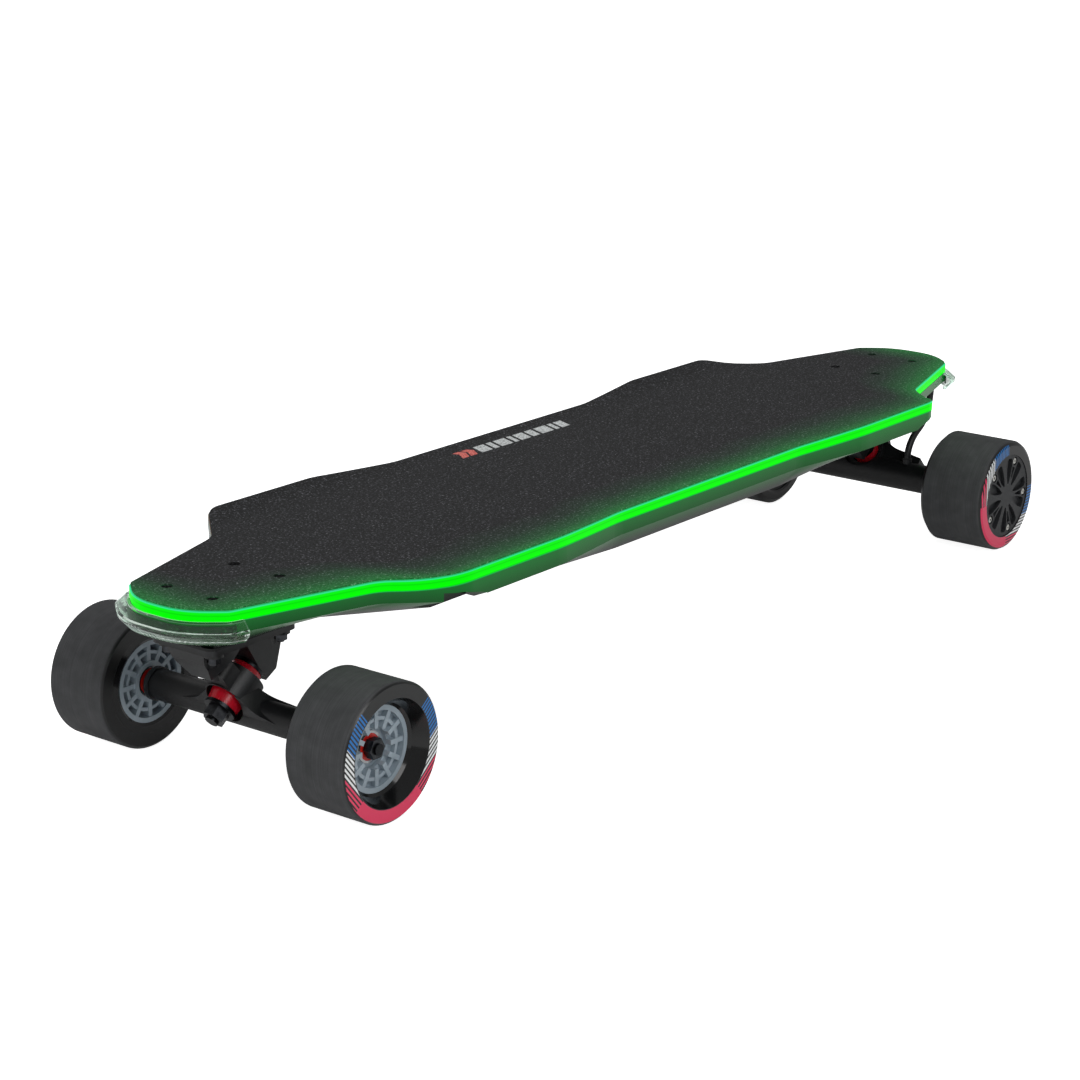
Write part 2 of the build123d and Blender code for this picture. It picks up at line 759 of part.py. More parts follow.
front_truck = Truck(0.0)
rear_stack = 10.0
rear_truck = Truck(rear_stack)
front_axle_start = 34.0
motor_axle_start = 42.0
front_plate = make_baseplate(front_truck, 11.0)
rear_plate = make_baseplate(rear_truck, 16.0)
front_arm = make_hanger(
    front_truck,
    (front_web_nut_side, front_web_board_side),
    tube_radius,
    axle_radius,
    front_axle_start,
    4.0,
)
rear_arm = make_hanger(
    rear_truck,
    (rear_web_nut_side, rear_web_board_side),
    motor_tube_radius,
    motor_axle_radius,
    motor_axle_start,
    10.0,
)
truck_ends = [
    ("front", front_truck, set_front, front_plate, front_arm),
    ("rear", rear_truck, set_rear, rear_plate, rear_arm),
]
kingpin_parts = []
kingpin_nut_parts = []
washer_parts = []
cup_parts = []
for end, truck, place, plate, arm in truck_ends:
    placed_plate = place(plate)
    placed_arm = place(arm)
    road_ring = place(
        kingpin_ring(truck, road_seat + running_gap, road_washer, bushing_radius, bushing_end_radius)
    )
    board_ring = place(
        kingpin_ring(truck, board_washer, board_seat - running_gap, bushing_end_radius, bushing_radius)
    )
    with BuildPart() as baseplate:
        add(placed_plate)
    write(baseplate, end + "_baseplate")
    with BuildPart() as hanger:
        add(placed_arm)
    write(hanger, end + "_hanger")
    with BuildPart() as roadside_bushing:
        add(road_ring)
    write(roadside_bushing, end + "_roadside_bushing")
    with BuildPart() as boardside_bushing:
        add(board_ring)
    write(boardside_bushing, end + "_boardside_bushing")
    kingpin_parts.append(place(make_kingpin(truck)))
    kingpin_nut_parts.append(place(make_kingpin_nut(truck)))
    for start in (road_washer, board_washer - washer_thick):
        washer_parts.append(
            place(kingpin_ring(truck, start, start + washer_thick, washer_radius, washer_radius))
        )
    with BuildPart() as cup:
        with BuildSketch(truck.above(pivot_face - 0.6)):
            Circle(cup_radius)
            Circle(pivot_radius + running_gap, mode=Mode.SUBTRACT)
        extrude(amount=pivot_depth - 0.4)
    cup_parts.append(place(cup.part))

with BuildPart() as kingpins:
    add(kingpin_parts)
write(kingpins, "kingpins")
with BuildPart() as kingpin_nuts:
    add(kingpin_nut_parts)
write(kingpin_nuts, "kingpin_nuts")
with BuildPart() as cup_washers:
    add(washer_parts)
write(cup_washers, "cup_washers")
with BuildPart() as pivot_cups:
    add(cup_parts)
write(pivot_cups, "pivot_cups")

# ---------------------------------------------------------------- axles and wheels
race_gap = 0.3
core_inner = front_inner + 1.0
inner_bearing_y = core_inner + 0.6
outer_bearing_y = 108.0
front_axle_end = 123.5
speed_washer_thick = 0.8
speed_washer_radius = 6.3
axle_nut_flats = 13.0
axle_nut_thick = 6.0
collar_end = inner_bearing_y - running_gap - speed_washer_thick


def turned_y(points, x):
    """Ring turned about an axle from (radius, y) corners."""
    with BuildPart() as ring:
        with BuildSketch(Plane.XY):
            Polygon(*points, align=None)
        revolve(axis=Axis.Y)
    return Pos(x, 0, axle_z) * ring.part


def tube_y(inner, outer, start, end, x):
    return turned_y([(inner, start), (outer, start), (outer, end), (inner, end)], x)


def both_sides(shape):
    return [shape, mirror(shape, about=Plane.XZ)]


with BuildPart() as front_axles:
    with BuildSketch(Plane.XZ.offset(-front_axle_start)):
        with Locations((front_x, axle_z)):
            Circle(axle_radius)
    extrude(amount=front_axle_start - front_axle_end)
    add(tube_y(axle_radius, 6.5, tube_half, collar_end, front_x))
    mirror(about=Plane.XZ)
write(front_axles, "front_axles")

washer_out = outer_bearing_y + bearing_width + running_gap
with BuildPart() as speed_washers:
    add(both_sides(tube_y(axle_radius, speed_washer_radius, collar_end, collar_end + speed_washer_thick, front_x)))
    add(both_sides(tube_y(axle_radius, speed_washer_radius, washer_out, washer_out + speed_washer_thick, front_x)))
write(speed_washers, "speed_washers")

with BuildPart() as front_axle_nuts:
    with BuildSketch(Plane.XZ.offset(-washer_out - speed_washer_thick)):
        with Locations((front_x, axle_z)):
            RegularPolygon(axle_nut_flats / 2, 6, major_radius=False)
            Circle(axle_radius, mode=Mode.SUBTRACT)
    extrude(amount=-axle_nut_thick)
    mirror(about=Plane.XZ)
write(front_axle_nuts, "front_axle_nuts")

bead = 2.0
hub_radius = 14.5
rim_radius = 26.0
mid_radius = 20.4
mid_wall = 2.4
spoke_count = 12
spoke_wide = 3.4
web_half = 2.2
window_deep = 5.0
front_tyre_points = [
    (core_radius, core_inner),
    (core_radius + 2, front_inner),
    (wheel_radius - bead, front_inner),
    (wheel_radius, front_inner + bead),
    (wheel_radius, front_outer - bead),
    (wheel_radius - bead, front_outer),
    (sidewall_radius, front_outer),
    (core_radius + 2.0, core_outer + 2.0),
    (core_radius, core_outer),
]
shield_outer = 9.3
shield_inner = 5.9
shield_sink = 0.3
shield_thick = 0.5
groove = shield_sink + shield_thick


def bearing_points(start):
    """Ball bearing seen as one turned ring, with a groove each side for its shields."""
    end = start + bearing_width
    bore = axle_radius + running_gap
    return [
        (bore, start),
        (shield_inner, start),
        (shield_inner, start + groove),
        (shield_outer, start + groove),
        (shield_outer, start),
        (bearing_radius, start),
        (bearing_radius, end),
        (shield_outer, end),
        (shield_outer, end - groove),
        (shield_inner, end - groove),
        (shield_inner, end),
        (bore, end),
    ]


with BuildPart() as core_left:
    add(tube_y(bearing_radius, hub_radius, core_inner, outer_bearing_y + bearing_width - 1, front_x))
    add(tube_y(rim_radius, core_radius, core_inner, core_outer, front_x))
    add(tube_y(mid_radius - mid_wall / 2, mid_radius + mid_wall / 2, core_inner + 1.5, core_outer - 1.5, front_x))
    with BuildSketch(Plane.XZ.offset(-core_inner - 1)):
        with Locations((front_x, axle_z)):
            with PolarLocations((hub_radius + rim_radius) / 2, spoke_count):
                Rectangle(rim_radius - hub_radius + 1, spoke_wide)
    extrude(amount=core_inner + 2 - core_outer)
    with BuildSketch(Plane.XZ.offset(window_deep + 2 * web_half - core_outer)):
        with Locations((front_x, axle_z)):
            Circle(rim_radius + 0.5)
            Circle(hub_radius - 0.5, mode=Mode.SUBTRACT)
    extrude(amount=-2 * web_half)
left_tyre = turned_y(front_tyre_points, front_x)
left_bearings = [
    turned_y(bearing_points(inner_bearing_y), front_x),
    turned_y(bearing_points(outer_bearing_y), front_x),
    tube_y(axle_radius + running_gap, 6.0, inner_bearing_y + bearing_width, outer_bearing_y, front_x),
]
shield_starts = [
    start + offset
    for start in (inner_bearing_y, outer_bearing_y)
    for offset in (shield_sink, bearing_width - groove)
]
left_shields = [tube_y(shield_inner, shield_outer, y, y + shield_thick, front_x) for y in shield_starts]

# Hub-motor wheel: the outer shell turns, the stator stays on the axle.
rear_edge = 4.0
can_inner = 88.0
can_wall = 3.5
can_bore = 28.0
stator_radius = 27.2
stator_start = 101.0
stator_end = 126.0
cap_start = 139.5
cap_end = 145.6
cap_gap = 0.2
cap_turn = 41.0
cap_screw_circle = 31.0
cap_screw_count = 5
cap_screw_head = 3.0
cap_screw_sink = 2.6
motor_bearing_radius = 12.0
motor_bearing_wide = 6.0
motor_boss = 15.0
motor_axle_end = 137.0
outer_motor_bearing = cap_start - 4 - motor_bearing_wide
rear_tyre_points = [
    (can_radius, rear_inner + 1),
    (can_radius + 2, rear_inner),
    (wheel_radius - rear_edge, rear_inner),
    (wheel_radius, rear_inner + rear_edge),
    (wheel_radius, rear_outer - rear_edge),
    (wheel_radius - rear_edge / 3, rear_outer - rear_edge / 3),
    (wheel_radius - rear_edge, rear_outer),
    (can_radius, rear_outer),
]
can_points = [
    (motor_axle_radius + 1, can_inner),
    (can_radius, can_inner),
    (can_radius, cap_start),
    (can_bore, cap_start),
    (can_bore, can_inner + can_wall),
    (motor_boss, can_inner + can_wall),
    (motor_boss, can_inner + can_wall + motor_bearing_wide),
    (motor_bearing_radius, can_inner + can_wall + motor_bearing_wide),
    (motor_bearing_radius, can_inner + can_wall),
    (motor_axle_radius + 1, can_inner + can_wall),
]
left_rear_tyre = turned_y(rear_tyre_points, -rear_x)
left_motor_bearings = [
    tube_y(
        motor_axle_radius + running_gap,
        motor_bearing_radius,
        start,
        start + motor_bearing_wide,
        -rear_x,
    )
    for start in (can_inner + can_wall, outer_motor_bearing)
]
with BuildPart() as can_left:
    add(turned_y(can_points, -rear_x))
    with BuildSketch(Plane.XZ.offset(-cap_start)):
        with Locations((-rear_x, axle_z)):
            with PolarLocations(cap_screw_circle, cap_screw_count, start_angle=cap_turn):
                Circle(1.5)
    extrude(amount=10, mode=Mode.SUBTRACT)
pocket_deep = 3.6
leaf = [(10.5, 0.8), (17, 3.0), (25, 4.4), (31, 4.4), (32.5, 2.5)]
slit = [(15, 0.5), (20, 1.3), (25.5, 2.2)]
with BuildPart() as cap_left:
    add(tube_y(0, can_radius - cap_gap, cap_start, cap_end, -rear_x))
    add(turned_y([
        (motor_bearing_radius, outer_motor_bearing),
        (motor_boss, outer_motor_bearing),
        (motor_boss, cap_start),
        (motor_bearing_radius, cap_start),
    ], -rear_x))
    with BuildSketch(Plane.XZ.offset(-cap_end)):
        with Locations((-rear_x, axle_z)):
            with PolarLocations(0, 2 * cap_screw_count, start_angle=cap_turn + 18):
                Polygon(*leaf, *[(along, -up) for along, up in reversed(leaf)], align=None)
            with PolarLocations(0, cap_screw_count, start_angle=cap_turn):
                Polygon(*slit, *[(along, -up) for along, up in reversed(slit)], align=None)
    extrude(amount=pocket_deep, mode=Mode.SUBTRACT)
    with BuildSketch(Plane.XZ.offset(-cap_end)):
        with Locations((-rear_x, axle_z)):
            with PolarLocations(cap_screw_circle, cap_screw_count, start_angle=cap_turn):
                Circle(cap_screw_head + 0.7)
    extrude(amount=cap_screw_sink, mode=Mode.SUBTRACT)
    with BuildSketch(Plane.XZ.offset(-cap_end)):
        with Locations((-rear_x, axle_z)):
            with PolarLocations(cap_screw_circle, cap_screw_count, start_angle=cap_turn):
                Circle(1.5)
    extrude(amount=20, mode=Mode.SUBTRACT)
screw_floor = cap_end - cap_screw_sink
with BuildPart() as cap_screws_left:
    with BuildSketch(Plane.XZ.offset(-screw_floor)):
        with Locations((-rear_x, axle_z)):
            with PolarLocations(cap_screw_circle, cap_screw_count, start_angle=cap_turn):
                Circle(cap_screw_head)
    extrude(amount=-2.2)
    fillet(cap_screws_left.faces().sort_by(Axis.Y)[-5:].edges(), radius=1.0)
    with BuildSketch(Plane.XZ.offset(-screw_floor)):
        with Locations((-rear_x, axle_z)):
            with PolarLocations(cap_screw_circle, cap_screw_count, start_angle=cap_turn):
                Circle(1.5)
    extrude(amount=screw_floor - cap_start + 9)
    with BuildSketch(Plane.XZ.offset(-screw_floor - 2.2)):
        with Locations((-rear_x, axle_z)):
            with PolarLocations(cap_screw_circle, cap_screw_count, start_angle=cap_turn):
                RegularPolygon(1.1, 6)
    extrude(amount=1.4, mode=Mode.SUBTRACT)

wheel_pieces = {
    "front": [
        ("tyre", [left_tyre]),
        ("core", [core_left.part]),
        ("bearings", left_bearings),
        ("shields", left_shields),
    ],
    "rear": [
        ("tyre", [left_rear_tyre]),
        ("motor_can", [can_left.part]),
        ("motor_cap", [cap_left.part]),
        ("cap_screws", [cap_screws_left.part]),
        ("bearings", left_motor_bearings),
    ],
}
for end, pieces in wheel_pieces.items():
    for kind, solids in pieces:
        with BuildPart() as left_piece:
            add(solids)
        write(left_piece, end + "_left_" + kind)
        with BuildPart() as right_piece:
            add(solids)
            mirror(about=Plane.XZ, mode=Mode.REPLACE)
        write(right_piece, end + "_right_" + kind)

with BuildPart() as rear_axles:
    with BuildSketch(Plane.XZ.offset(-motor_axle_start)):
        with Locations((-rear_x, axle_z)):
            Circle(motor_axle_radius)
    extrude(amount=motor_axle_start - motor_axle_end)
    mirror(about=Plane.XZ)
write(rear_axles, "rear_axles")

with BuildPart() as motor_stators:
    add(tube_y(motor_axle_radius, stator_radius, stator_start, stator_end, -rear_x))
    mirror(about=Plane.XZ)
write(motor_stators, "motor_stators")

# ---------------------------------------------------------------- motor cables
# Each cable drops out of the shell beside the rear base plate, swings forward in an S and ends in
# a rubber gland on top of the tube.
gland_radius = 4.2
gland_x = -rear_x
gland_y = 46.0
gland_seat = axle_z + motor_tube_radius - 3
gland_top = 64.0
cable_points = [
    (exit_x, exit_y, exit_top),
    (exit_x, exit_y, 97.0),
    (gland_x, gland_y, 79.0),
    (gland_x, gland_y, gland_top),
]


def bend_radii(points):
    """Largest tangent arc at each corner: 0.45 of the shorter run over the tangent of half the turn."""
    radii = []
    for before, here, after in zip(points, points[1:], points[2:]):
        run_in = Vector(*here) - Vector(*before)
        run_out = Vector(*after) - Vector(*here)
        turn = radians(run_in.get_angle(run_out))
        radii.append(0.45 * min(run_in.length, run_out.length) * cos(turn / 2) / sin(turn / 2))
    return radii


cable_radii = bend_radii(cable_points)
print("cable bend radii, mm:", [round(r, 1) for r in cable_radii])
with BuildPart() as motor_cable_left:
    with BuildLine() as cable_line:
        FilletPolyline(*cable_points, radius=cable_radii)
    with BuildSketch(Plane(cable_line.line @ 0, z_dir=cable_line.line % 0)):
        Circle(cable_radius)
    sweep()
write(motor_cable_left, "motor_cable_left")
with BuildPart() as motor_cable_right:
    add(motor_cable_left.part)
    mirror(about=Plane.XZ, mode=Mode.REPLACE)
write(motor_cable_right, "motor_cable_right")
print("cable length, mm:", round(sum(edge.length for edge in cable_line.edges()), 1))

placed_rear_arm = set_rear(rear_arm)
with BuildPart() as cable_glands:
    for side in (-1, 1):
        with Locations((gland_x, side * gland_y, gland_seat)):
            Cylinder(gland_radius, gland_top - gland_seat, align=(Align.CENTER, Align.CENTER, Align.MIN))
    add(placed_rear_arm, mode=Mode.SUBTRACT)
write(cable_glands, "cable_glands")
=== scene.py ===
import bpy
import math
from mathutils import Matrix, Vector


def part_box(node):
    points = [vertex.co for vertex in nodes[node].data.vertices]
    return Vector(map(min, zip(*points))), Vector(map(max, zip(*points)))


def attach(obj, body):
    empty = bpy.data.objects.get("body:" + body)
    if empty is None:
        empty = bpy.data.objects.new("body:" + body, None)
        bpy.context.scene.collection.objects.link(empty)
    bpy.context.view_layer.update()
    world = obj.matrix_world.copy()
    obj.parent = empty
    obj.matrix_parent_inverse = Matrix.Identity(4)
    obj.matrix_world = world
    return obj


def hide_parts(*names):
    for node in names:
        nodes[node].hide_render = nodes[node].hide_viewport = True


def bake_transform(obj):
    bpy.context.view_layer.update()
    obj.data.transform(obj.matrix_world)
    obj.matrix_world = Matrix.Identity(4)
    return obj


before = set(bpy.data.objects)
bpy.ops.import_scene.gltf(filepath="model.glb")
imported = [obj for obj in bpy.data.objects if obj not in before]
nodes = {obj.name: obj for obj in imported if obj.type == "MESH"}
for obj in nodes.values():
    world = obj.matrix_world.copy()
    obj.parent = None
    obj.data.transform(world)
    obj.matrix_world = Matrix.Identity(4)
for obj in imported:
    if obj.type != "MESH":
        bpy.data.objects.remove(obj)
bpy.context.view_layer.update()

# ---- The studio: a sheet of pale paper, a white room and three soft boxes.
# The camera stands in front of the nose on the board's left, a little above the deck.
camera_data = bpy.data.cameras.new("camera")
camera_data.sensor_width = 36.0
camera_data.lens = 90.93
camera = bpy.data.objects.new("camera", camera_data)
bpy.context.scene.collection.objects.link(camera)
camera_place = Vector((1.65334, 1.20308, 0.68361))
camera_forward = Vector((-0.76179792, -0.58086128, -0.2868172))
level_right = camera_forward.cross(Vector((0, 0, 1))).normalized()
level_up = level_right.cross(camera_forward)
roll = math.radians(0.6595)
camera_right = level_right * math.cos(roll) + level_up * math.sin(roll)
camera_up = level_up * math.cos(roll) - level_right * math.sin(roll)
camera.matrix_world = Matrix.Translation(camera_place) @ Matrix((
    (camera_right.x, camera_up.x, -camera_forward.x, 0),
    (camera_right.y, camera_up.y, -camera_forward.y, 0),
    (camera_right.z, camera_up.z, -camera_forward.z, 0),
    (0, 0, 0, 1),
))
bpy.context.scene.camera = camera
bpy.context.scene.view_settings.view_transform = "Standard"


def linear(hex_colour):
    """sRGB hex to the linear colour that a shader socket takes."""
    parts = [int(hex_colour[i:i + 2], 16) / 255 for i in (1, 3, 5)]
    curved = [c / 12.92 if c <= 0.04045 else ((c + 0.055) / 1.055) ** 2.4 for c in parts]
    return (*curved, 1.0)


def add(tree, kind, inputs, **settings):
    """Add one shader node. An input is a plain value, or the output that feeds it."""
    made = tree.nodes.new("ShaderNode" + kind)
    for name, value in settings.items():
        setattr(made, name, value)
    for name, value in inputs.items():
        if isinstance(value, bpy.types.NodeSocket):
            tree.links.new(value, made.inputs[name])
        else:
            made.inputs[name].default_value = value
    return made


def start_finish(name, **sockets):
    """A material with a Principled shader, its fixed values on the shader's own sockets."""
    material = bpy.data.materials.new(name)
    material.use_nodes = True
    tree = material.node_tree
    shader = tree.nodes["Principled BSDF"]
    for socket, value in sockets.items():
        shader.inputs[socket.replace("_", " ")].default_value = value
    return material, tree, shader


def paint(material, *names):
    """Give CAD nodes this finish."""
    for name in names:
        slots = nodes[name].data.materials
        slots.clear()
        slots.append(material)


world = bpy.data.worlds.new("white_room")
world.use_nodes = True
seen = add(world.node_tree, "LightPath", {}).outputs["Is Camera Ray"]
white_or_dim = add(world.node_tree, "MapRange", {"Value": seen, "To Min": 0.30, "To Max": 1.0})
world.node_tree.nodes["Background"].inputs["Color"].default_value = (1, 1, 1, 1)
world.node_tree.links.new(white_or_dim.outputs["Result"],
    world.node_tree.nodes["Background"].inputs["Strength"])
bpy.context.scene.world = world

paper_mesh = bpy.data.meshes.new("paper_floor")
paper_mesh.from_pydata([(-6, -6, -0.0006), (6, -6, -0.0006), (6, 6, -0.0006), (-6, 6, -0.0006)], [],
    [(0, 1, 2, 3)])
paper = bpy.data.objects.new("paper_floor", paper_mesh)
bpy.context.scene.collection.objects.link(paper)
# White card: an uncoated paper that keeps the softest part of each shadow.
card, card_tree, card_shader = start_finish("white_card", Roughness=0.9)
fibre = add(card_tree, "TexNoise", {"Scale": 400.0, "Detail": 3.0})
card_tint = add(card_tree, "Mix",
    {"Factor": fibre.outputs["Fac"], "A": linear("#F8F8F8"), "B": linear("#FFFFFF")}, data_type="RGBA")
card_tree.links.new(card_tint.outputs["Result"], card_shader.inputs["Base Color"])
card_shader.inputs["Emission Color"].default_value = (1, 1, 1, 1)
card_seen = add(card_tree, "LightPath", {}).outputs["Is Camera Ray"]
card_glow = add(card_tree, "MapRange", {"Value": card_seen, "To Min": 0.10, "To Max": 0.92})
card_tree.links.new(card_glow.outputs["Result"], card_shader.inputs["Emission Strength"])
paper_mesh.materials.append(card)

soft_boxes = {
    "key_box": ((0.9, 1.9, 1.7), (0.0, 0.0, 0.1), 1.4, 20.0),
    "nose_box": ((2.4, -0.3, 1.0), (0.3, 0.0, 0.1), 1.0, 6.0),
    "top_box": ((-0.6, -0.9, 2.4), (0.0, 0.0, 0.1), 1.8, 11.0),
}
for box_name, (place, target, width, power) in soft_boxes.items():
    lamp = bpy.data.lights.new(box_name, "AREA")
    lamp.size = width
    lamp.energy = power
    stand = bpy.data.objects.new(box_name, lamp)
    bpy.context.scene.collection.objects.link(stand)
    stand.location = place
    stand.rotation_mode = "QUATERNION"
    stand.rotation_quaternion = (Vector(place) - Vector(target)).to_track_quat("Z", "Y")

# ---- Every solid of the frame is shaded smooth up to its real edges.
for solid in nodes.values():
    solid.data.polygons.foreach_set("use_smooth", [True] * len(solid.data.polygons))
    solid.data.set_sharp_from_angle(angle=math.radians(32))

# ---- Deck core: maple and bamboo veneers pressed in a mould, then routed to the outline.
# Only its sealed edge shows, as a thin tan line with the veneers' dark glue lines. On the strip's side that
# edge is painted dark green with a painted green glow of the strip's light, and inside the bolt holes it is
# painted black as shade.
maple, maple_tree, maple_shader = start_finish("pressed_maple", Roughness=0.45, IOR=1.5)
place_in_board = add(maple_tree, "TexCoord", {}).outputs["Object"]
ply = add(maple_tree, "Mapping", {"Vector": place_in_board, "Scale": (1, 1, 60)})
plies = add(maple_tree, "TexWave",
    {"Vector": ply.outputs["Vector"], "Scale": 6.0, "Distortion": 0.4, "Detail": 2.0}, bands_direction="Z")
grain = add(maple_tree, "TexNoise", {"Vector": place_in_board, "Scale": 180.0, "Detail": 6.0})
plies_and_grain = add(maple_tree, "Math", {0: plies.outputs["Fac"], 1: grain.outputs["Fac"]},
    operation="MULTIPLY")
veneer = add(maple_tree, "ValToRGB", {"Fac": plies_and_grain.outputs["Value"]})
veneer.color_ramp.elements[0].color = linear("#6B4A2B")
veneer.color_ramp.elements[1].color = linear("#C79C69")
board_xyz = add(maple_tree, "SeparateXYZ", {"Vector": place_in_board})
across_board = add(maple_tree, "Math", {0: board_xyz.outputs["Y"]}, operation="ABSOLUTE").outputs["Value"]
along_board = add(maple_tree, "Math", {0: board_xyz.outputs["X"]}, operation="ABSOLUTE").outputs["Value"]
# Away from the edge the core shows only inside the bolt holes, where it is painted black as shade.
off_bolts = add(maple_tree, "Math", {0: across_board, 1: 0.030}, operation="GREATER_THAN").outputs["Value"]
at_tip = add(maple_tree, "Math", {0: along_board, 1: 0.455}, operation="GREATER_THAN").outputs["Value"]
at_edge = add(maple_tree, "Math", {0: off_bolts, 1: at_tip}, operation="MAXIMUM").outputs["Value"]
# On the strip's side the edge gets a painted dark green and a painted green glow of the strip's light.
strip_side = add(maple_tree, "MapRange",
    {"Value": board_xyz.outputs["Y"], "From Min": -0.052, "From Max": -0.040}).outputs["Result"]
strip_lit_edge = add(maple_tree, "Math", {0: at_edge, 1: strip_side}, operation="MULTIPLY").outputs["Value"]
veneer_with_hole_shade = add(maple_tree, "Mix", {"Factor": at_edge, "A": linear("#0A0A0B"), "B": veneer.outputs["Color"]},
    data_type="RGBA")
veneer_with_strip_light = add(maple_tree, "Mix",
    {"Factor": strip_lit_edge, "A": veneer_with_hole_shade.outputs["Result"], "B": linear("#06200F")}, data_type="RGBA")
maple_tree.links.new(veneer_with_strip_light.outputs["Result"], maple_shader.inputs["Base Color"])
core_painted_strip_glow = add(maple_tree, "Mix", {"Factor": strip_lit_edge, "A": linear("#000000"), "B": linear("#18B264")},
    data_type="RGBA")
maple_tree.links.new(core_painted_strip_glow.outputs["Result"], maple_shader.inputs["Emission Color"])
maple_shader.inputs["Emission Strength"].default_value = 1.0
paint(maple, "deck_core")

# ---- Light circuit: a flexible board with a row of diodes, glued in the groove round the deck.
# It hides behind the diffuser, so it only needs its lacquer and a faint repeat of parts.
circuit, circuit_tree, circuit_shader = start_finish("green_solder_mask", Roughness=0.4)
parts_pattern = add(circuit_tree, "TexVoronoi",
    {"Vector": add(circuit_tree, "TexCoord", {}).outputs["Object"], "Scale": 260.0})
circuit_colour = add(circuit_tree, "ValToRGB", {"Fac": parts_pattern.outputs["Distance"]})
circuit_colour.color_ramp.elements[0].color = linear("#2C6A3C")
circuit_colour.color_ramp.elements[1].color = linear("#16401F")
circuit_colour.color_ramp.elements[1].position = 0.35
circuit_tree.links.new(circuit_colour.outputs["Color"], circuit_shader.inputs["Base Color"])
paint(circuit, "light_circuit", "nose_lamp_board", "tail_lamp_board")

# ---- Light strip: milky silicone extruded as a band, let into the deck's edge all the way round.
# The left, nose and tail are lit an even pure green; the upper lip is thin, so it glows paler.
lit, lit_tree, lit_shader = start_finish("lit_silicone", Roughness=0.35)
lit_object = add(lit_tree, "SeparateXYZ", {"Vector": add(lit_tree, "TexCoord", {}).outputs["Object"]})
lit_rise = add(lit_tree, "Math",
    {0: add(lit_tree, "Math", {0: lit_object.outputs["Y"], 1: 0.0}, operation="MAXIMUM").outputs["Value"],
    1: 0.088}, operation="SUBTRACT")
lit_rise_side = add(lit_tree, "Math", {0: lit_rise.outputs["Value"], 1: 0.0}, operation="MAXIMUM")
lit_curve = add(lit_tree, "Math", {0: lit_rise_side.outputs["Value"], 1: lit_rise_side.outputs["Value"]},
    operation="MULTIPLY")
lit_lift = add(lit_tree, "Math", {0: lit_curve.outputs["Value"], 1: 1 / 0.19}, operation="MULTIPLY")
lit_height = add(lit_tree, "Math", {0: lit_object.outputs["Z"], 1: lit_lift.outputs["Value"]},
    operation="SUBTRACT")
lit_band = add(lit_tree, "MapRange",
    {"Value": lit_height.outputs["Value"], "From Min": 0.1323, "From Max": 0.1391})
lit_ramp = add(lit_tree, "ValToRGB", {"Fac": lit_band.outputs["Result"]})
lit_ramp.color_ramp.elements[0].position = 0.0
lit_ramp.color_ramp.elements[0].color = linear("#00E000")
lit_ramp.color_ramp.elements[1].position = 1.0
lit_ramp.color_ramp.elements[1].color = linear("#38E09A")
for spot, shade in ((0.10, "#00FF00"), (0.50, "#00F800"), (0.60, "#00DC08"), (0.70, "#00FA00"),
    (0.90, "#0CF020"), (0.95, "#30E888")):
    lit_ramp.color_ramp.elements.new(spot).color = linear(shade)
lit_tree.links.new(lit_ramp.outputs["Color"], lit_shader.inputs["Emission Color"])
lit_shader.inputs["Base Color"].default_value = linear("#001000")
lit_shader.inputs["Specular IOR Level"].default_value = 0.05
lit_shader.inputs["Emission Strength"].default_value = 1.0
paint(lit, "light_strip_left")

unlit, unlit_tree, unlit_shader = start_finish("milky_silicone", Roughness=0.4, Subsurface_Weight=0.15)
milk = add(unlit_tree, "TexNoise",
    {"Vector": add(unlit_tree, "TexCoord", {}).outputs["Object"], "Scale": 60.0, "Detail": 4.0})
milk_colour = add(unlit_tree, "Mix",
    {"Factor": milk.outputs["Fac"], "A": linear("#B9BCB8"), "B": linear("#D9DCD8")}, data_type="RGBA")
unlit_tree.links.new(milk_colour.outputs["Result"], unlit_shader.inputs["Base Color"])
paint(unlit, "light_strip_right")

# ---- Gasket: a die-cut tan silicone seal squeezed between the deck and the battery shell.
seal, seal_tree, seal_shader = start_finish("tan_silicone", Roughness=0.6)
seal_noise = add(seal_tree, "TexNoise",
    {"Vector": add(seal_tree, "TexCoord", {}).outputs["Object"], "Scale": 140.0, "Detail": 4.0})
seal_colour = add(seal_tree, "Mix",
    {"Factor": seal_noise.outputs["Fac"], "A": linear("#4A3A26"), "B": linear("#7A6242")}, data_type="RGBA")
seal_y = add(seal_tree, "SeparateXYZ",
    {"Vector": add(seal_tree, "TexCoord", {}).outputs["Object"]}).outputs["Y"]
# On the strip's side the seal is painted dark green with a painted green glow of the strip's light.
seal_side = add(seal_tree, "MapRange",
    {"Value": seal_y, "From Min": -0.052, "From Max": -0.040}).outputs["Result"]
seal_with_strip_light = add(seal_tree, "Mix",
    {"Factor": seal_side, "A": seal_colour.outputs["Result"], "B": linear("#03120A")}, data_type="RGBA")
seal_tree.links.new(seal_with_strip_light.outputs["Result"], seal_shader.inputs["Base Color"])
seal_painted_strip_glow = add(seal_tree, "Mix", {"Factor": seal_side, "A": linear("#000000"), "B": linear("#10A844")},
    data_type="RGBA")
seal_tree.links.new(seal_painted_strip_glow.outputs["Result"], seal_shader.inputs["Emission Color"])
seal_shader.inputs["Emission Strength"].default_value = 1.0
paint(seal, "shell_gasket")

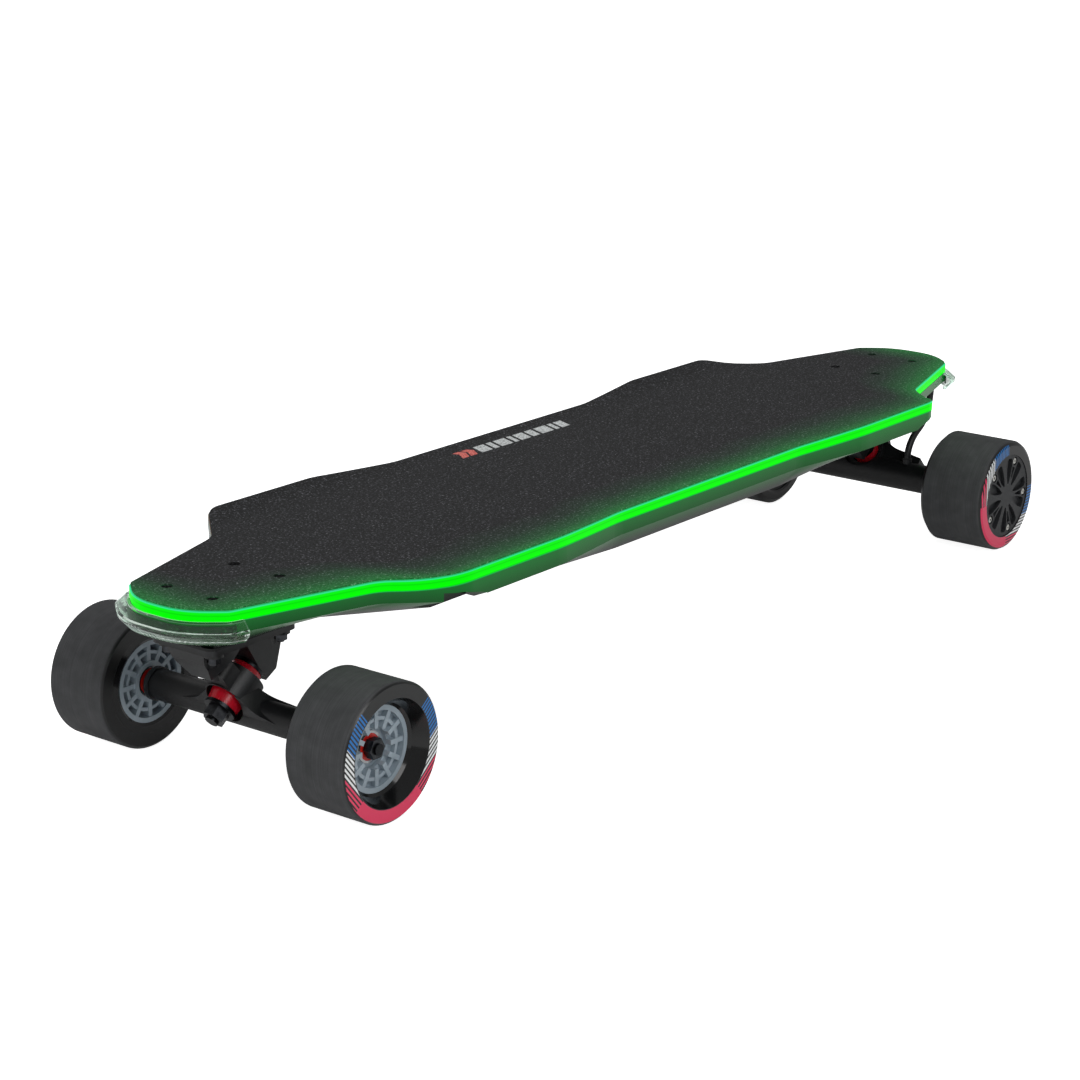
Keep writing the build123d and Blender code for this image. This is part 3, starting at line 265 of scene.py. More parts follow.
# ---- Battery shell: one gloss black glass-filled nylon moulding, screwed up into the deck.
# Its upper side carries a painted green reflection of the strip's light, falling off to black at the bottom
# edge.
shell, shell_tree, shell_shader = start_finish("gloss_black_nylon", Roughness=0.22, IOR=1.33)
shell_object = add(shell_tree, "TexCoord", {}).outputs["Object"]
shell_xyz = add(shell_tree, "SeparateXYZ", {"Vector": shell_object})
flow = add(shell_tree, "TexNoise", {"Vector": shell_object, "Scale": 25.0, "Detail": 3.0})
shell_colour = add(shell_tree, "Mix",
    {"Factor": flow.outputs["Fac"], "A": linear("#050606"), "B": linear("#0B0D0D")}, data_type="RGBA")
shell_tree.links.new(shell_colour.outputs["Result"], shell_shader.inputs["Base Color"])
peel = add(shell_tree, "TexNoise", {"Vector": shell_object, "Scale": 320.0, "Detail": 2.0})
shell_bump = add(shell_tree, "Bump", {"Height": peel.outputs["Fac"], "Strength": 0.05, "Distance": 0.0002})
shell_tree.links.new(shell_bump.outputs["Normal"], shell_shader.inputs["Normal"])
# Painted reflection: green emission of the strip's light, strongest high up on the strip's side.
spill_height = add(shell_tree, "MapRange",
    {"Value": shell_xyz.outputs["Z"], "From Min": 0.1105, "From Max": 0.1335})
spill_side = add(shell_tree, "MapRange",
    {"Value": shell_xyz.outputs["Y"], "From Min": -0.050, "From Max": -0.030})
spill_curve = add(shell_tree, "Math", {0: spill_height.outputs["Result"], 1: 1.2}, operation="POWER")
spill = add(shell_tree, "Math", {0: spill_curve.outputs["Value"], 1: spill_side.outputs["Result"]},
    operation="MULTIPLY")
painted_strip_reflection = add(shell_tree, "Mix",
    {"Factor": spill.outputs["Value"], "A": linear("#000000"), "B": linear("#006420")}, data_type="RGBA")
shell_tree.links.new(painted_strip_reflection.outputs["Result"], shell_shader.inputs["Emission Color"])
shell_shader.inputs["Emission Strength"].default_value = 1.0
paint(shell, "under_shell")

# ---- Screws, deck bolts and nuts: steel with a black oxide bath, oiled, rubbed brighter on its edges.
oxide, oxide_tree, oxide_shader = start_finish("black_oxide_steel", Metallic=1.0, Roughness=0.34)
oxide_object = add(oxide_tree, "TexCoord", {}).outputs["Object"]
rub = add(oxide_tree, "TexNoise", {"Vector": oxide_object, "Scale": 350.0, "Detail": 5.0})
edge = add(oxide_tree, "NewGeometry", {})
edge_wear = add(oxide_tree, "MapRange",
    {"Value": edge.outputs["Pointiness"], "From Min": 0.52, "From Max": 0.62})
rubbed = add(oxide_tree, "Math", {0: rub.outputs["Fac"], 1: edge_wear.outputs["Result"]},
    operation="MULTIPLY")
oxide_colour = add(oxide_tree, "Mix",
    {"Factor": rubbed.outputs["Value"], "A": linear("#1A1B1D"), "B": linear("#5A5C60")}, data_type="RGBA")
oxide_tree.links.new(oxide_colour.outputs["Result"], oxide_shader.inputs["Base Color"])
paint(oxide, "shell_screws", "deck_bolts", "deck_nuts", "kingpins", "kingpin_nuts", "front_axle_nuts")

# ---- Lamp lenses: clear polycarbonate moulded with a ridge and fine prisms, clipped on each end.
# The strip's green light is painted into their colour towards the top, and a painted white highlight glows
# on their rims and ridges at grazing angles.
lens, lens_tree, lens_shader = start_finish("clear_polycarbonate", Roughness=0.02, IOR=1.40,
    Transmission_Weight=1.0)
lens_object = add(lens_tree, "TexCoord", {}).outputs["Object"]
lens_xyz = add(lens_tree, "SeparateXYZ", {"Vector": lens_object})
prism_wave = add(lens_tree, "TexWave", {"Vector": lens_object, "Scale": 90.0, "Distortion": 0.3},
    bands_direction="Y")
prism_zone = add(lens_tree, "MapRange",
    {"Value": lens_xyz.outputs["Z"], "From Min": 0.1235, "From Max": 0.1225})
prism_height = add(lens_tree, "Math", {0: prism_wave.outputs["Fac"], 1: prism_zone.outputs["Result"]},
    operation="MULTIPLY")
prism_bump = add(lens_tree, "Bump",
    {"Height": prism_height.outputs["Value"], "Strength": 0.12, "Distance": 0.0004})
lens_tree.links.new(prism_bump.outputs["Normal"], lens_shader.inputs["Normal"])
# Painted light: the clear lens turns green towards the strip above it.
strip_light_share = add(lens_tree, "MapRange",
    {"Value": lens_xyz.outputs["Z"], "From Min": 0.118, "From Max": 0.133})
lens_with_strip_light = add(lens_tree, "Mix",
    {"Factor": strip_light_share.outputs["Result"], "A": linear("#FAFDFB"), "B": linear("#D6F5DF")},
    data_type="RGBA")
lens_tree.links.new(lens_with_strip_light.outputs["Result"], lens_shader.inputs["Base Color"])
# Painted highlight: white emission on the rims at grazing angles.
rim_facing = add(lens_tree, "LayerWeight", {"Blend": 0.35}).outputs["Facing"]
painted_rim_highlight = add(lens_tree, "ValToRGB", {"Fac": rim_facing})
painted_rim_highlight.color_ramp.elements[0].position = 0.45
painted_rim_highlight.color_ramp.elements[0].color = linear("#000000")
painted_rim_highlight.color_ramp.elements[1].position = 1.0
painted_rim_highlight.color_ramp.elements[1].color = linear("#C8DCD2")
lens_tree.links.new(painted_rim_highlight.outputs["Color"], lens_shader.inputs["Emission Color"])
lens_shader.inputs["Emission Strength"].default_value = 0.6
paint(lens, "nose_lens", "tail_lens")

# ---- Battery and motor controller, sealed in the shell: shrink wrap over cells, and a cast case.
wrap, wrap_tree, wrap_shader = start_finish("blue_shrink_wrap", Roughness=0.3)
wrap_object = add(wrap_tree, "TexCoord", {}).outputs["Object"]
cells = add(wrap_tree, "TexWave", {"Vector": wrap_object, "Scale": 17.0, "Distortion": 0.2},
    bands_direction="X")
wrap_colour = add(wrap_tree, "Mix",
    {"Factor": cells.outputs["Fac"], "A": linear("#15386E"), "B": linear("#2A5BA8")}, data_type="RGBA")
wrap_tree.links.new(wrap_colour.outputs["Result"], wrap_shader.inputs["Base Color"])
wrap_bump = add(wrap_tree, "Bump", {"Height": cells.outputs["Fac"], "Strength": 0.4, "Distance": 0.002})
wrap_tree.links.new(wrap_bump.outputs["Normal"], wrap_shader.inputs["Normal"])
paint(wrap, "battery_pack")
cast, cast_tree, cast_shader = start_finish("anodised_aluminium", Metallic=1.0)
cast_noise = add(cast_tree, "TexNoise",
    {"Vector": add(cast_tree, "TexCoord", {}).outputs["Object"], "Scale": 500.0, "Detail": 4.0})
cast_colour = add(cast_tree, "Mix",
    {"Factor": cast_noise.outputs["Fac"], "A": linear("#55575C"), "B": linear("#7C7E84")}, data_type="RGBA")
cast_tree.links.new(cast_colour.outputs["Result"], cast_shader.inputs["Base Color"])
cast_rough = add(cast_tree, "MapRange",
    {"Value": cast_noise.outputs["Fac"], "To Min": 0.35, "To Max": 0.55})
cast_tree.links.new(cast_rough.outputs["Result"], cast_shader.inputs["Roughness"])
paint(cast, "motor_controller")

# ---- Power button, its bezel, the charge socket and the cable glands: black nylon with a spark-eroded skin.
nylon, nylon_tree, nylon_shader = start_finish("textured_black_nylon", IOR=1.5)
nylon_noise = add(nylon_tree, "TexNoise",
    {"Vector": add(nylon_tree, "TexCoord", {}).outputs["Object"], "Scale": 900.0, "Detail": 4.0})
nylon_colour = add(nylon_tree, "Mix",
    {"Factor": nylon_noise.outputs["Fac"], "A": linear("#141517"), "B": linear("#232427")},
    data_type="RGBA")
nylon_tree.links.new(nylon_colour.outputs["Result"], nylon_shader.inputs["Base Color"])
nylon_rough = add(nylon_tree, "MapRange",
    {"Value": nylon_noise.outputs["Fac"], "To Min": 0.42, "To Max": 0.62})
nylon_tree.links.new(nylon_rough.outputs["Result"], nylon_shader.inputs["Roughness"])
nylon_bump = add(nylon_tree, "Bump",
    {"Height": nylon_noise.outputs["Fac"], "Strength": 0.2, "Distance": 0.0002})
nylon_tree.links.new(nylon_bump.outputs["Normal"], nylon_shader.inputs["Normal"])
paint(nylon, "power_button_bezel", "charge_port", "cable_glands")
press, press_tree, press_shader = start_finish("dark_grey_button", Roughness=0.3)
press_noise = add(press_tree, "TexNoise",
    {"Vector": add(press_tree, "TexCoord", {}).outputs["Object"], "Scale": 300.0, "Detail": 3.0})
press_colour = add(press_tree, "Mix",
    {"Factor": press_noise.outputs["Fac"], "A": linear("#2B2C2F"), "B": linear("#3E4044")},
    data_type="RGBA")
press_tree.links.new(press_colour.outputs["Result"], press_shader.inputs["Base Color"])
paint(press, "power_button")
rubber, rubber_tree, rubber_shader = start_finish("black_rubber", Roughness=0.7)
rubber_noise = add(rubber_tree, "TexNoise",
    {"Vector": add(rubber_tree, "TexCoord", {}).outputs["Object"], "Scale": 500.0, "Detail": 4.0})
rubber_colour = add(rubber_tree, "Mix",
    {"Factor": rubber_noise.outputs["Fac"], "A": linear("#121213"), "B": linear("#202022")},
    data_type="RGBA")
rubber_tree.links.new(rubber_colour.outputs["Result"], rubber_shader.inputs["Base Color"])
paint(rubber, "charge_port_plug", "riser_pads")

# ---- Grip tape: silicon-carbide grit glued on cloth, cut to the deck. Grit is about 0.4 mm across,
# drawn at 0.9 mm so that it shows. Grains are grey, and the brightest carry painted pale glints; the strip's
# green light is painted as a glow along the lit edge.
grip, grip_tree, grip_shader = start_finish("silicon_carbide_grit", Roughness=0.85)
grip_object = add(grip_tree, "TexCoord", {}).outputs["Object"]
grip_xyz = add(grip_tree, "SeparateXYZ", {"Vector": grip_object})
grit = add(grip_tree, "TexNoise", {"Vector": grip_object, "Scale": 560.0, "Detail": 2.0, "Roughness": 0.8})
clump = add(grip_tree, "TexNoise", {"Vector": grip_object, "Scale": 230.0, "Detail": 3.0})
# Grit tone with painted glints: the brightest grains are painted pale grey.
grit_and_glint_ramp = add(grip_tree, "ValToRGB", {"Fac": grit.outputs["Fac"]})
grit_and_glint_ramp.color_ramp.elements[0].position = 0.30
grit_and_glint_ramp.color_ramp.elements[0].color = linear("#0C0C0D")
grit_and_glint_ramp.color_ramp.elements[1].position = 0.80
grit_and_glint_ramp.color_ramp.elements[1].color = linear("#C8C8CE")
grit_and_glint_ramp.color_ramp.elements.new(0.50).color = linear("#141517")
grit_and_glint_ramp.color_ramp.elements.new(0.62).color = linear("#46474C")
grit_shade = add(grip_tree, "Mix",
    {"Factor": clump.outputs["Fac"], "A": linear("#A0A0A0"), "B": linear("#FFFFFF")}, data_type="RGBA")
grit_colour = add(grip_tree, "Mix",
    {"Factor": 1.0, "A": grit_and_glint_ramp.outputs["Color"], "B": grit_shade.outputs["Result"]}, data_type="RGBA",
    blend_type="MULTIPLY")
grip_tree.links.new(grit_colour.outputs["Result"], grip_shader.inputs["Base Color"])
grit_bump = add(grip_tree, "Bump", {"Height": grit.outputs["Fac"], "Strength": 0.9, "Distance": 0.0006})
grip_tree.links.new(grit_bump.outputs["Normal"], grip_shader.inputs["Normal"])
# The painted green glow of the strip's light on the grit fades with distance from the lit side and the tips.
# The deck's half width along its length, as a curve from the waist (0) to the tip (1).
half_long = 0.4805
half_wide = 0.118
outline_points = (
    (0.0, 0.1065), (0.105, 0.1067), (0.122, 0.1070), (0.150, 0.1105), (0.180, 0.1150), (0.203, 0.1174),
    (0.225, 0.1180), (0.298, 0.1180), (0.308, 0.1165), (0.318, 0.1120), (0.345, 0.0815), (0.358, 0.0757),
    (0.460, 0.0458), (0.4685, 0.0380), (0.4770, 0.0240), (0.4805, 0.0),
)
along = add(grip_tree, "Math", {0: grip_xyz.outputs["X"]}, operation="ABSOLUTE")
along_share = add(grip_tree, "Math", {0: along.outputs["Value"], 1: half_long}, operation="DIVIDE")
width_curve = add(grip_tree, "FloatCurve", {"Value": along_share.outputs["Value"]})
curve = width_curve.mapping.curves[0]
for spot, (x, half) in enumerate(outline_points):
    if spot < 2:
        curve.points[spot].location = (x / half_long, half / half_wide)
    else:
        curve.points.new(x / half_long, half / half_wide)
for point in curve.points:
    point.handle_type = "VECTOR"
width_curve.mapping.update()
half_here = add(grip_tree, "Math", {0: width_curve.outputs["Value"], 1: half_wide}, operation="MULTIPLY")
from_side = add(grip_tree, "Math", {0: half_here.outputs["Value"], 1: grip_xyz.outputs["Y"]},
    operation="SUBTRACT")
from_tip = add(grip_tree, "Math", {0: half_long, 1: along.outputs["Value"]}, operation="SUBTRACT")
from_edge = add(grip_tree, "Math", {0: from_side.outputs["Value"], 1: from_tip.outputs["Value"], 2: 0.012},
    operation="SMOOTH_MIN")
reach = add(grip_tree, "TexNoise", {"Vector": grip_object, "Scale": 9.0, "Detail": 2.0})
reach_here = add(grip_tree, "MapRange",
    {"Value": reach.outputs["Fac"], "From Min": 0.3, "From Max": 0.7, "To Min": 0.050, "To Max": 0.070})
painted_glow_share = add(grip_tree, "Math", {0: from_edge.outputs["Value"], 1: reach_here.outputs["Result"]},
    operation="DIVIDE")
painted_glow_ramp = add(grip_tree, "ValToRGB", {"Fac": painted_glow_share.outputs["Value"]})
painted_glow_ramp.color_ramp.elements[0].position = 0.0
painted_glow_ramp.color_ramp.elements[0].color = linear("#006A24")
painted_glow_ramp.color_ramp.elements[1].position = 1.0
painted_glow_ramp.color_ramp.elements[1].color = linear("#000000")
painted_glow_ramp.color_ramp.elements.new(0.30).color = linear("#004418")
painted_glow_ramp.color_ramp.elements.new(0.62).color = linear("#00200B")
painted_glow_grit = add(grip_tree, "MapRange",
    {"Value": grit.outputs["Fac"], "From Min": 0.3, "From Max": 0.7, "To Min": 0.55, "To Max": 1.35})
grip_painted_glow = add(grip_tree, "Mix",
    {"Factor": 1.0, "A": painted_glow_ramp.outputs["Color"], "B": painted_glow_grit.outputs["Result"]}, data_type="RGBA",
    blend_type="MULTIPLY")
grip_tree.links.new(grip_painted_glow.outputs["Result"], grip_shader.inputs["Emission Color"])
grip_shader.inputs["Emission Strength"].default_value = 1.0
paint(grip, "grip_tape")

# ---- Deck mark: a plain red chevron and slanted grey bars, screen printed on the grit.
# The ink sits on the grains, so the grit shows through it.
mark_height = 0.14088
red_ink, red_tree, red_shader = start_finish("red_screen_ink", Roughness=0.8)
grey_ink, grey_tree, grey_shader = start_finish("grey_screen_ink", Roughness=0.8)
for tree, shader, dark, light in ((red_tree, red_shader, "#C24C46", "#FF8C82"),
    (grey_tree, grey_shader, "#A4A8A8", "#F2F6F6")):
    speckle = add(tree, "TexNoise",
        {"Vector": add(tree, "TexCoord", {}).outputs["Object"], "Scale": 800.0, "Detail": 2.0})
    speckle_range = add(tree, "MapRange",
        {"Value": speckle.outputs["Fac"], "From Min": 0.35, "From Max": 0.6})
    ink = add(tree, "Mix", {"Factor": speckle_range.outputs["Result"], "A": linear(dark),
        "B": linear(light)}, data_type="RGBA")
    tree.links.new(ink.outputs["Result"], shader.inputs["Base Color"])
    ink_bump = add(tree, "Bump", {"Height": speckle.outputs["Fac"], "Strength": 0.6, "Distance": 0.0004})
    tree.links.new(ink_bump.outputs["Normal"], shader.inputs["Normal"])


def print_on_deck(name, outlines, ink):
    """Flat printed shapes on the deck, each an outline of (x, y) corners in metres."""
    corners = []
    faces = []
    for outline in outlines:
        faces.append(tuple(range(len(corners), len(corners) + len(outline))))
        corners += [(x, y, mark_height) for x, y in outline]
    mesh = bpy.data.meshes.new(name)
    mesh.from_pydata(corners, [], faces)
    mesh.materials.append(ink)
    mark = bpy.data.objects.new(name, mesh)
    bpy.context.scene.collection.objects.link(mark)
    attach(mark, "deck")
    return mark


mark_near = -0.0750
mark_far = -0.0940
slant = -0.008
mark_middle = (mark_near + mark_far) / 2
chevron = []
for tip in (0.076, 0.066):
    chevron.append([
        (tip, mark_near),
        (tip - 0.007, mark_middle),
        (tip - 0.004, mark_far),
        (tip - 0.011, mark_far),
        (tip - 0.015, mark_middle),
        (tip - 0.008, mark_near),
    ])
print_on_deck("deck_mark_chevron", chevron, red_ink)
bars = []
bar_start = 0.052
bar_widths = (0.013, 0.006, 0.014, 0.005, 0.012, 0.009, 0.015, 0.005, 0.010)
for bar_width in bar_widths:
    bars.append([
        (bar_start, mark_near),
        (bar_start - bar_width, mark_near),
        (bar_start - bar_width + slant, mark_far),
        (bar_start + slant, mark_far),
    ])
    bar_start -= bar_width + 0.003
print_on_deck("deck_mark_bars", bars, grey_ink)

# ---- Truck base plates and hangers: cast aluminium, tumbled and powder coated satin black.
# The coat has a fine orange peel, and is thinner and a touch greyer along the casting's edges.
coat, coat_tree, coat_shader = start_finish("satin_black_powder_coat", IOR=1.5)
coat_object = add(coat_tree, "TexCoord", {}).outputs["Object"]
coat_noise = add(coat_tree, "TexNoise", {"Vector": coat_object, "Scale": 700.0, "Detail": 3.0})
cast_waves = add(coat_tree, "TexNoise", {"Vector": coat_object, "Scale": 40.0, "Detail": 3.0})
coat_colour = add(coat_tree, "Mix",
    {"Factor": cast_waves.outputs["Fac"], "A": linear("#0A0B0C"), "B": linear("#151618")}, data_type="RGBA")
coat_edge = add(coat_tree, "MapRange",
    {"Value": add(coat_tree, "NewGeometry", {}).outputs["Pointiness"], "From Min": 0.53, "From Max": 0.66})
coat_worn = add(coat_tree, "Math", {0: coat_edge.outputs["Result"], 1: coat_noise.outputs["Fac"]},
    operation="MULTIPLY")
coat_final = add(coat_tree, "Mix",
    {"Factor": coat_worn.outputs["Value"], "A": coat_colour.outputs["Result"], "B": linear("#34363A")},
    data_type="RGBA")
coat_tree.links.new(coat_final.outputs["Result"], coat_shader.inputs["Base Color"])
coat_rough = add(coat_tree, "MapRange",
    {"Value": coat_noise.outputs["Fac"], "To Min": 0.36, "To Max": 0.52})
coat_tree.links.new(coat_rough.outputs["Result"], coat_shader.inputs["Roughness"])
coat_bump = add(coat_tree, "Bump",
    {"Height": coat_noise.outputs["Fac"], "Strength": 0.15, "Distance": 0.0003})
coat_tree.links.new(coat_bump.outputs["Normal"], coat_shader.inputs["Normal"])
paint(coat, "front_baseplate", "rear_baseplate", "front_hanger", "rear_hanger")

# ---- Pivot cups: black cast urethane pressed into each base plate.
cup, cup_tree, cup_shader = start_finish("black_urethane", Roughness=0.4)
cup_noise = add(cup_tree, "TexNoise",
    {"Vector": add(cup_tree, "TexCoord", {}).outputs["Object"], "Scale": 300.0, "Detail": 3.0})
cup_colour = add(cup_tree, "Mix",
    {"Factor": cup_noise.outputs["Fac"], "A": linear("#161617"), "B": linear("#252527")}, data_type="RGBA")
cup_tree.links.new(cup_colour.outputs["Result"], cup_shader.inputs["Base Color"])
paint(cup, "pivot_cups")

# ---- Bushings: crimson urethane cast in a mould. It is glossy, a little see-through at its rims,
# and bulges between its washers.
crimson, crimson_tree, crimson_shader = start_finish("crimson_urethane", Roughness=0.22, IOR=1.5,
    Subsurface_Weight=0.25, Subsurface_Scale=0.004)
crimson_shader.inputs["Subsurface Radius"].default_value = (1.0, 0.15, 0.1)
crimson_noise = add(crimson_tree, "TexNoise",
    {"Vector": add(crimson_tree, "TexCoord", {}).outputs["Object"], "Scale": 120.0, "Detail": 3.0})
crimson_colour = add(crimson_tree, "Mix",
    {"Factor": crimson_noise.outputs["Fac"], "A": linear("#A00A1C"), "B": linear("#C8142A")},
    data_type="RGBA")
crimson_tree.links.new(crimson_colour.outputs["Result"], crimson_shader.inputs["Base Color"])
paint(crimson, "front_boardside_bushing", "front_roadside_bushing", "rear_boardside_bushing",
    "rear_roadside_bushing")

# ---- Cup washers, speed washers and axles: steel, turned, then black zinc on the washers.
black_zinc, zinc_tree, zinc_shader = start_finish("black_zinc_steel", Metallic=1.0)
zinc_noise = add(zinc_tree, "TexNoise",
    {"Vector": add(zinc_tree, "TexCoord", {}).outputs["Object"], "Scale": 420.0, "Detail": 4.0})
zinc_colour = add(zinc_tree, "Mix",
    {"Factor": zinc_noise.outputs["Fac"], "A": linear("#1C1D1F"), "B": linear("#36383B")}, data_type="RGBA")
zinc_tree.links.new(zinc_colour.outputs["Result"], zinc_shader.inputs["Base Color"])
zinc_rough = add(zinc_tree, "MapRange",
    {"Value": zinc_noise.outputs["Fac"], "To Min": 0.25, "To Max": 0.42})
zinc_tree.links.new(zinc_rough.outputs["Result"], zinc_shader.inputs["Roughness"])
paint(black_zinc, "cup_washers", "speed_washers", "front_axles", "rear_axles")

# ---- Front wheel core: blue-grey glass-filled nylon, moulded as a hub, a ring and twelve spokes.
# Moulding leaves it satin, with faint flow marks.
core, core_tree, core_shader = start_finish("blue_grey_nylon", IOR=1.5)
core_object = add(core_tree, "TexCoord", {}).outputs["Object"]
core_flow = add(core_tree, "TexNoise", {"Vector": core_object, "Scale": 60.0, "Detail": 4.0})
core_colour = add(core_tree, "Mix",
    {"Factor": core_flow.outputs["Fac"], "A": linear("#84929C"), "B": linear("#B2C0CA")}, data_type="RGBA")
core_tree.links.new(core_colour.outputs["Result"], core_shader.inputs["Base Color"])
core_rough = add(core_tree, "MapRange", {"Value": core_flow.outputs["Fac"], "To Min": 0.3, "To Max": 0.45})
core_tree.links.new(core_rough.outputs["Result"], core_shader.inputs["Roughness"])
paint(core, "front_left_core", "front_right_core")

# ---- Bearings: ground chrome steel rings, and the front ones' shields in red nylon.
ground, ground_tree, ground_shader = start_finish("ground_steel", Metallic=1.0)
ground_noise = add(ground_tree, "TexNoise",
    {"Vector": add(ground_tree, "TexCoord", {}).outputs["Object"], "Scale": 600.0, "Detail": 3.0})
ground_colour = add(ground_tree, "Mix",
    {"Factor": ground_noise.outputs["Fac"], "A": linear("#9B9DA0"), "B": linear("#C6C8CB")},
    data_type="RGBA")
ground_tree.links.new(ground_colour.outputs["Result"], ground_shader.inputs["Base Color"])
ground_rough = add(ground_tree, "MapRange",
    {"Value": ground_noise.outputs["Fac"], "To Min": 0.18, "To Max": 0.3})
ground_tree.links.new(ground_rough.outputs["Result"], ground_shader.inputs["Roughness"])
paint(ground, "front_left_bearings", "front_right_bearings", "rear_left_bearings", "rear_right_bearings")
shield, shield_tree, shield_shader = start_finish("red_nylon_shield", Roughness=0.35)
shield_noise = add(shield_tree, "TexNoise",
    {"Vector": add(shield_tree, "TexCoord", {}).outputs["Object"], "Scale": 250.0, "Detail": 3.0})
shield_colour = add(shield_tree, "Mix",
    {"Factor": shield_noise.outputs["Fac"], "A": linear("#B81A14"), "B": linear("#E22A1E")},
    data_type="RGBA")
shield_tree.links.new(shield_colour.outputs["Result"], shield_shader.inputs["Base Color"])
paint(shield, "front_left_shields", "front_right_shields")

# ---- Tyres: black urethane cast round the core or the motor, and turned true. The tread is ground,
# so it is dull and grey with fine rings; the sidewall is as moulded, and carries a printed band.
wheel_radius = 0.048
print_outer_radius = 0.0462
print_depth = 0.072
print_white_from = 0.468
print_pink_from = 0.739
stripe_pitch = 0.0036
stripe_ink_share = 0.56
first_stripe = 0.0006


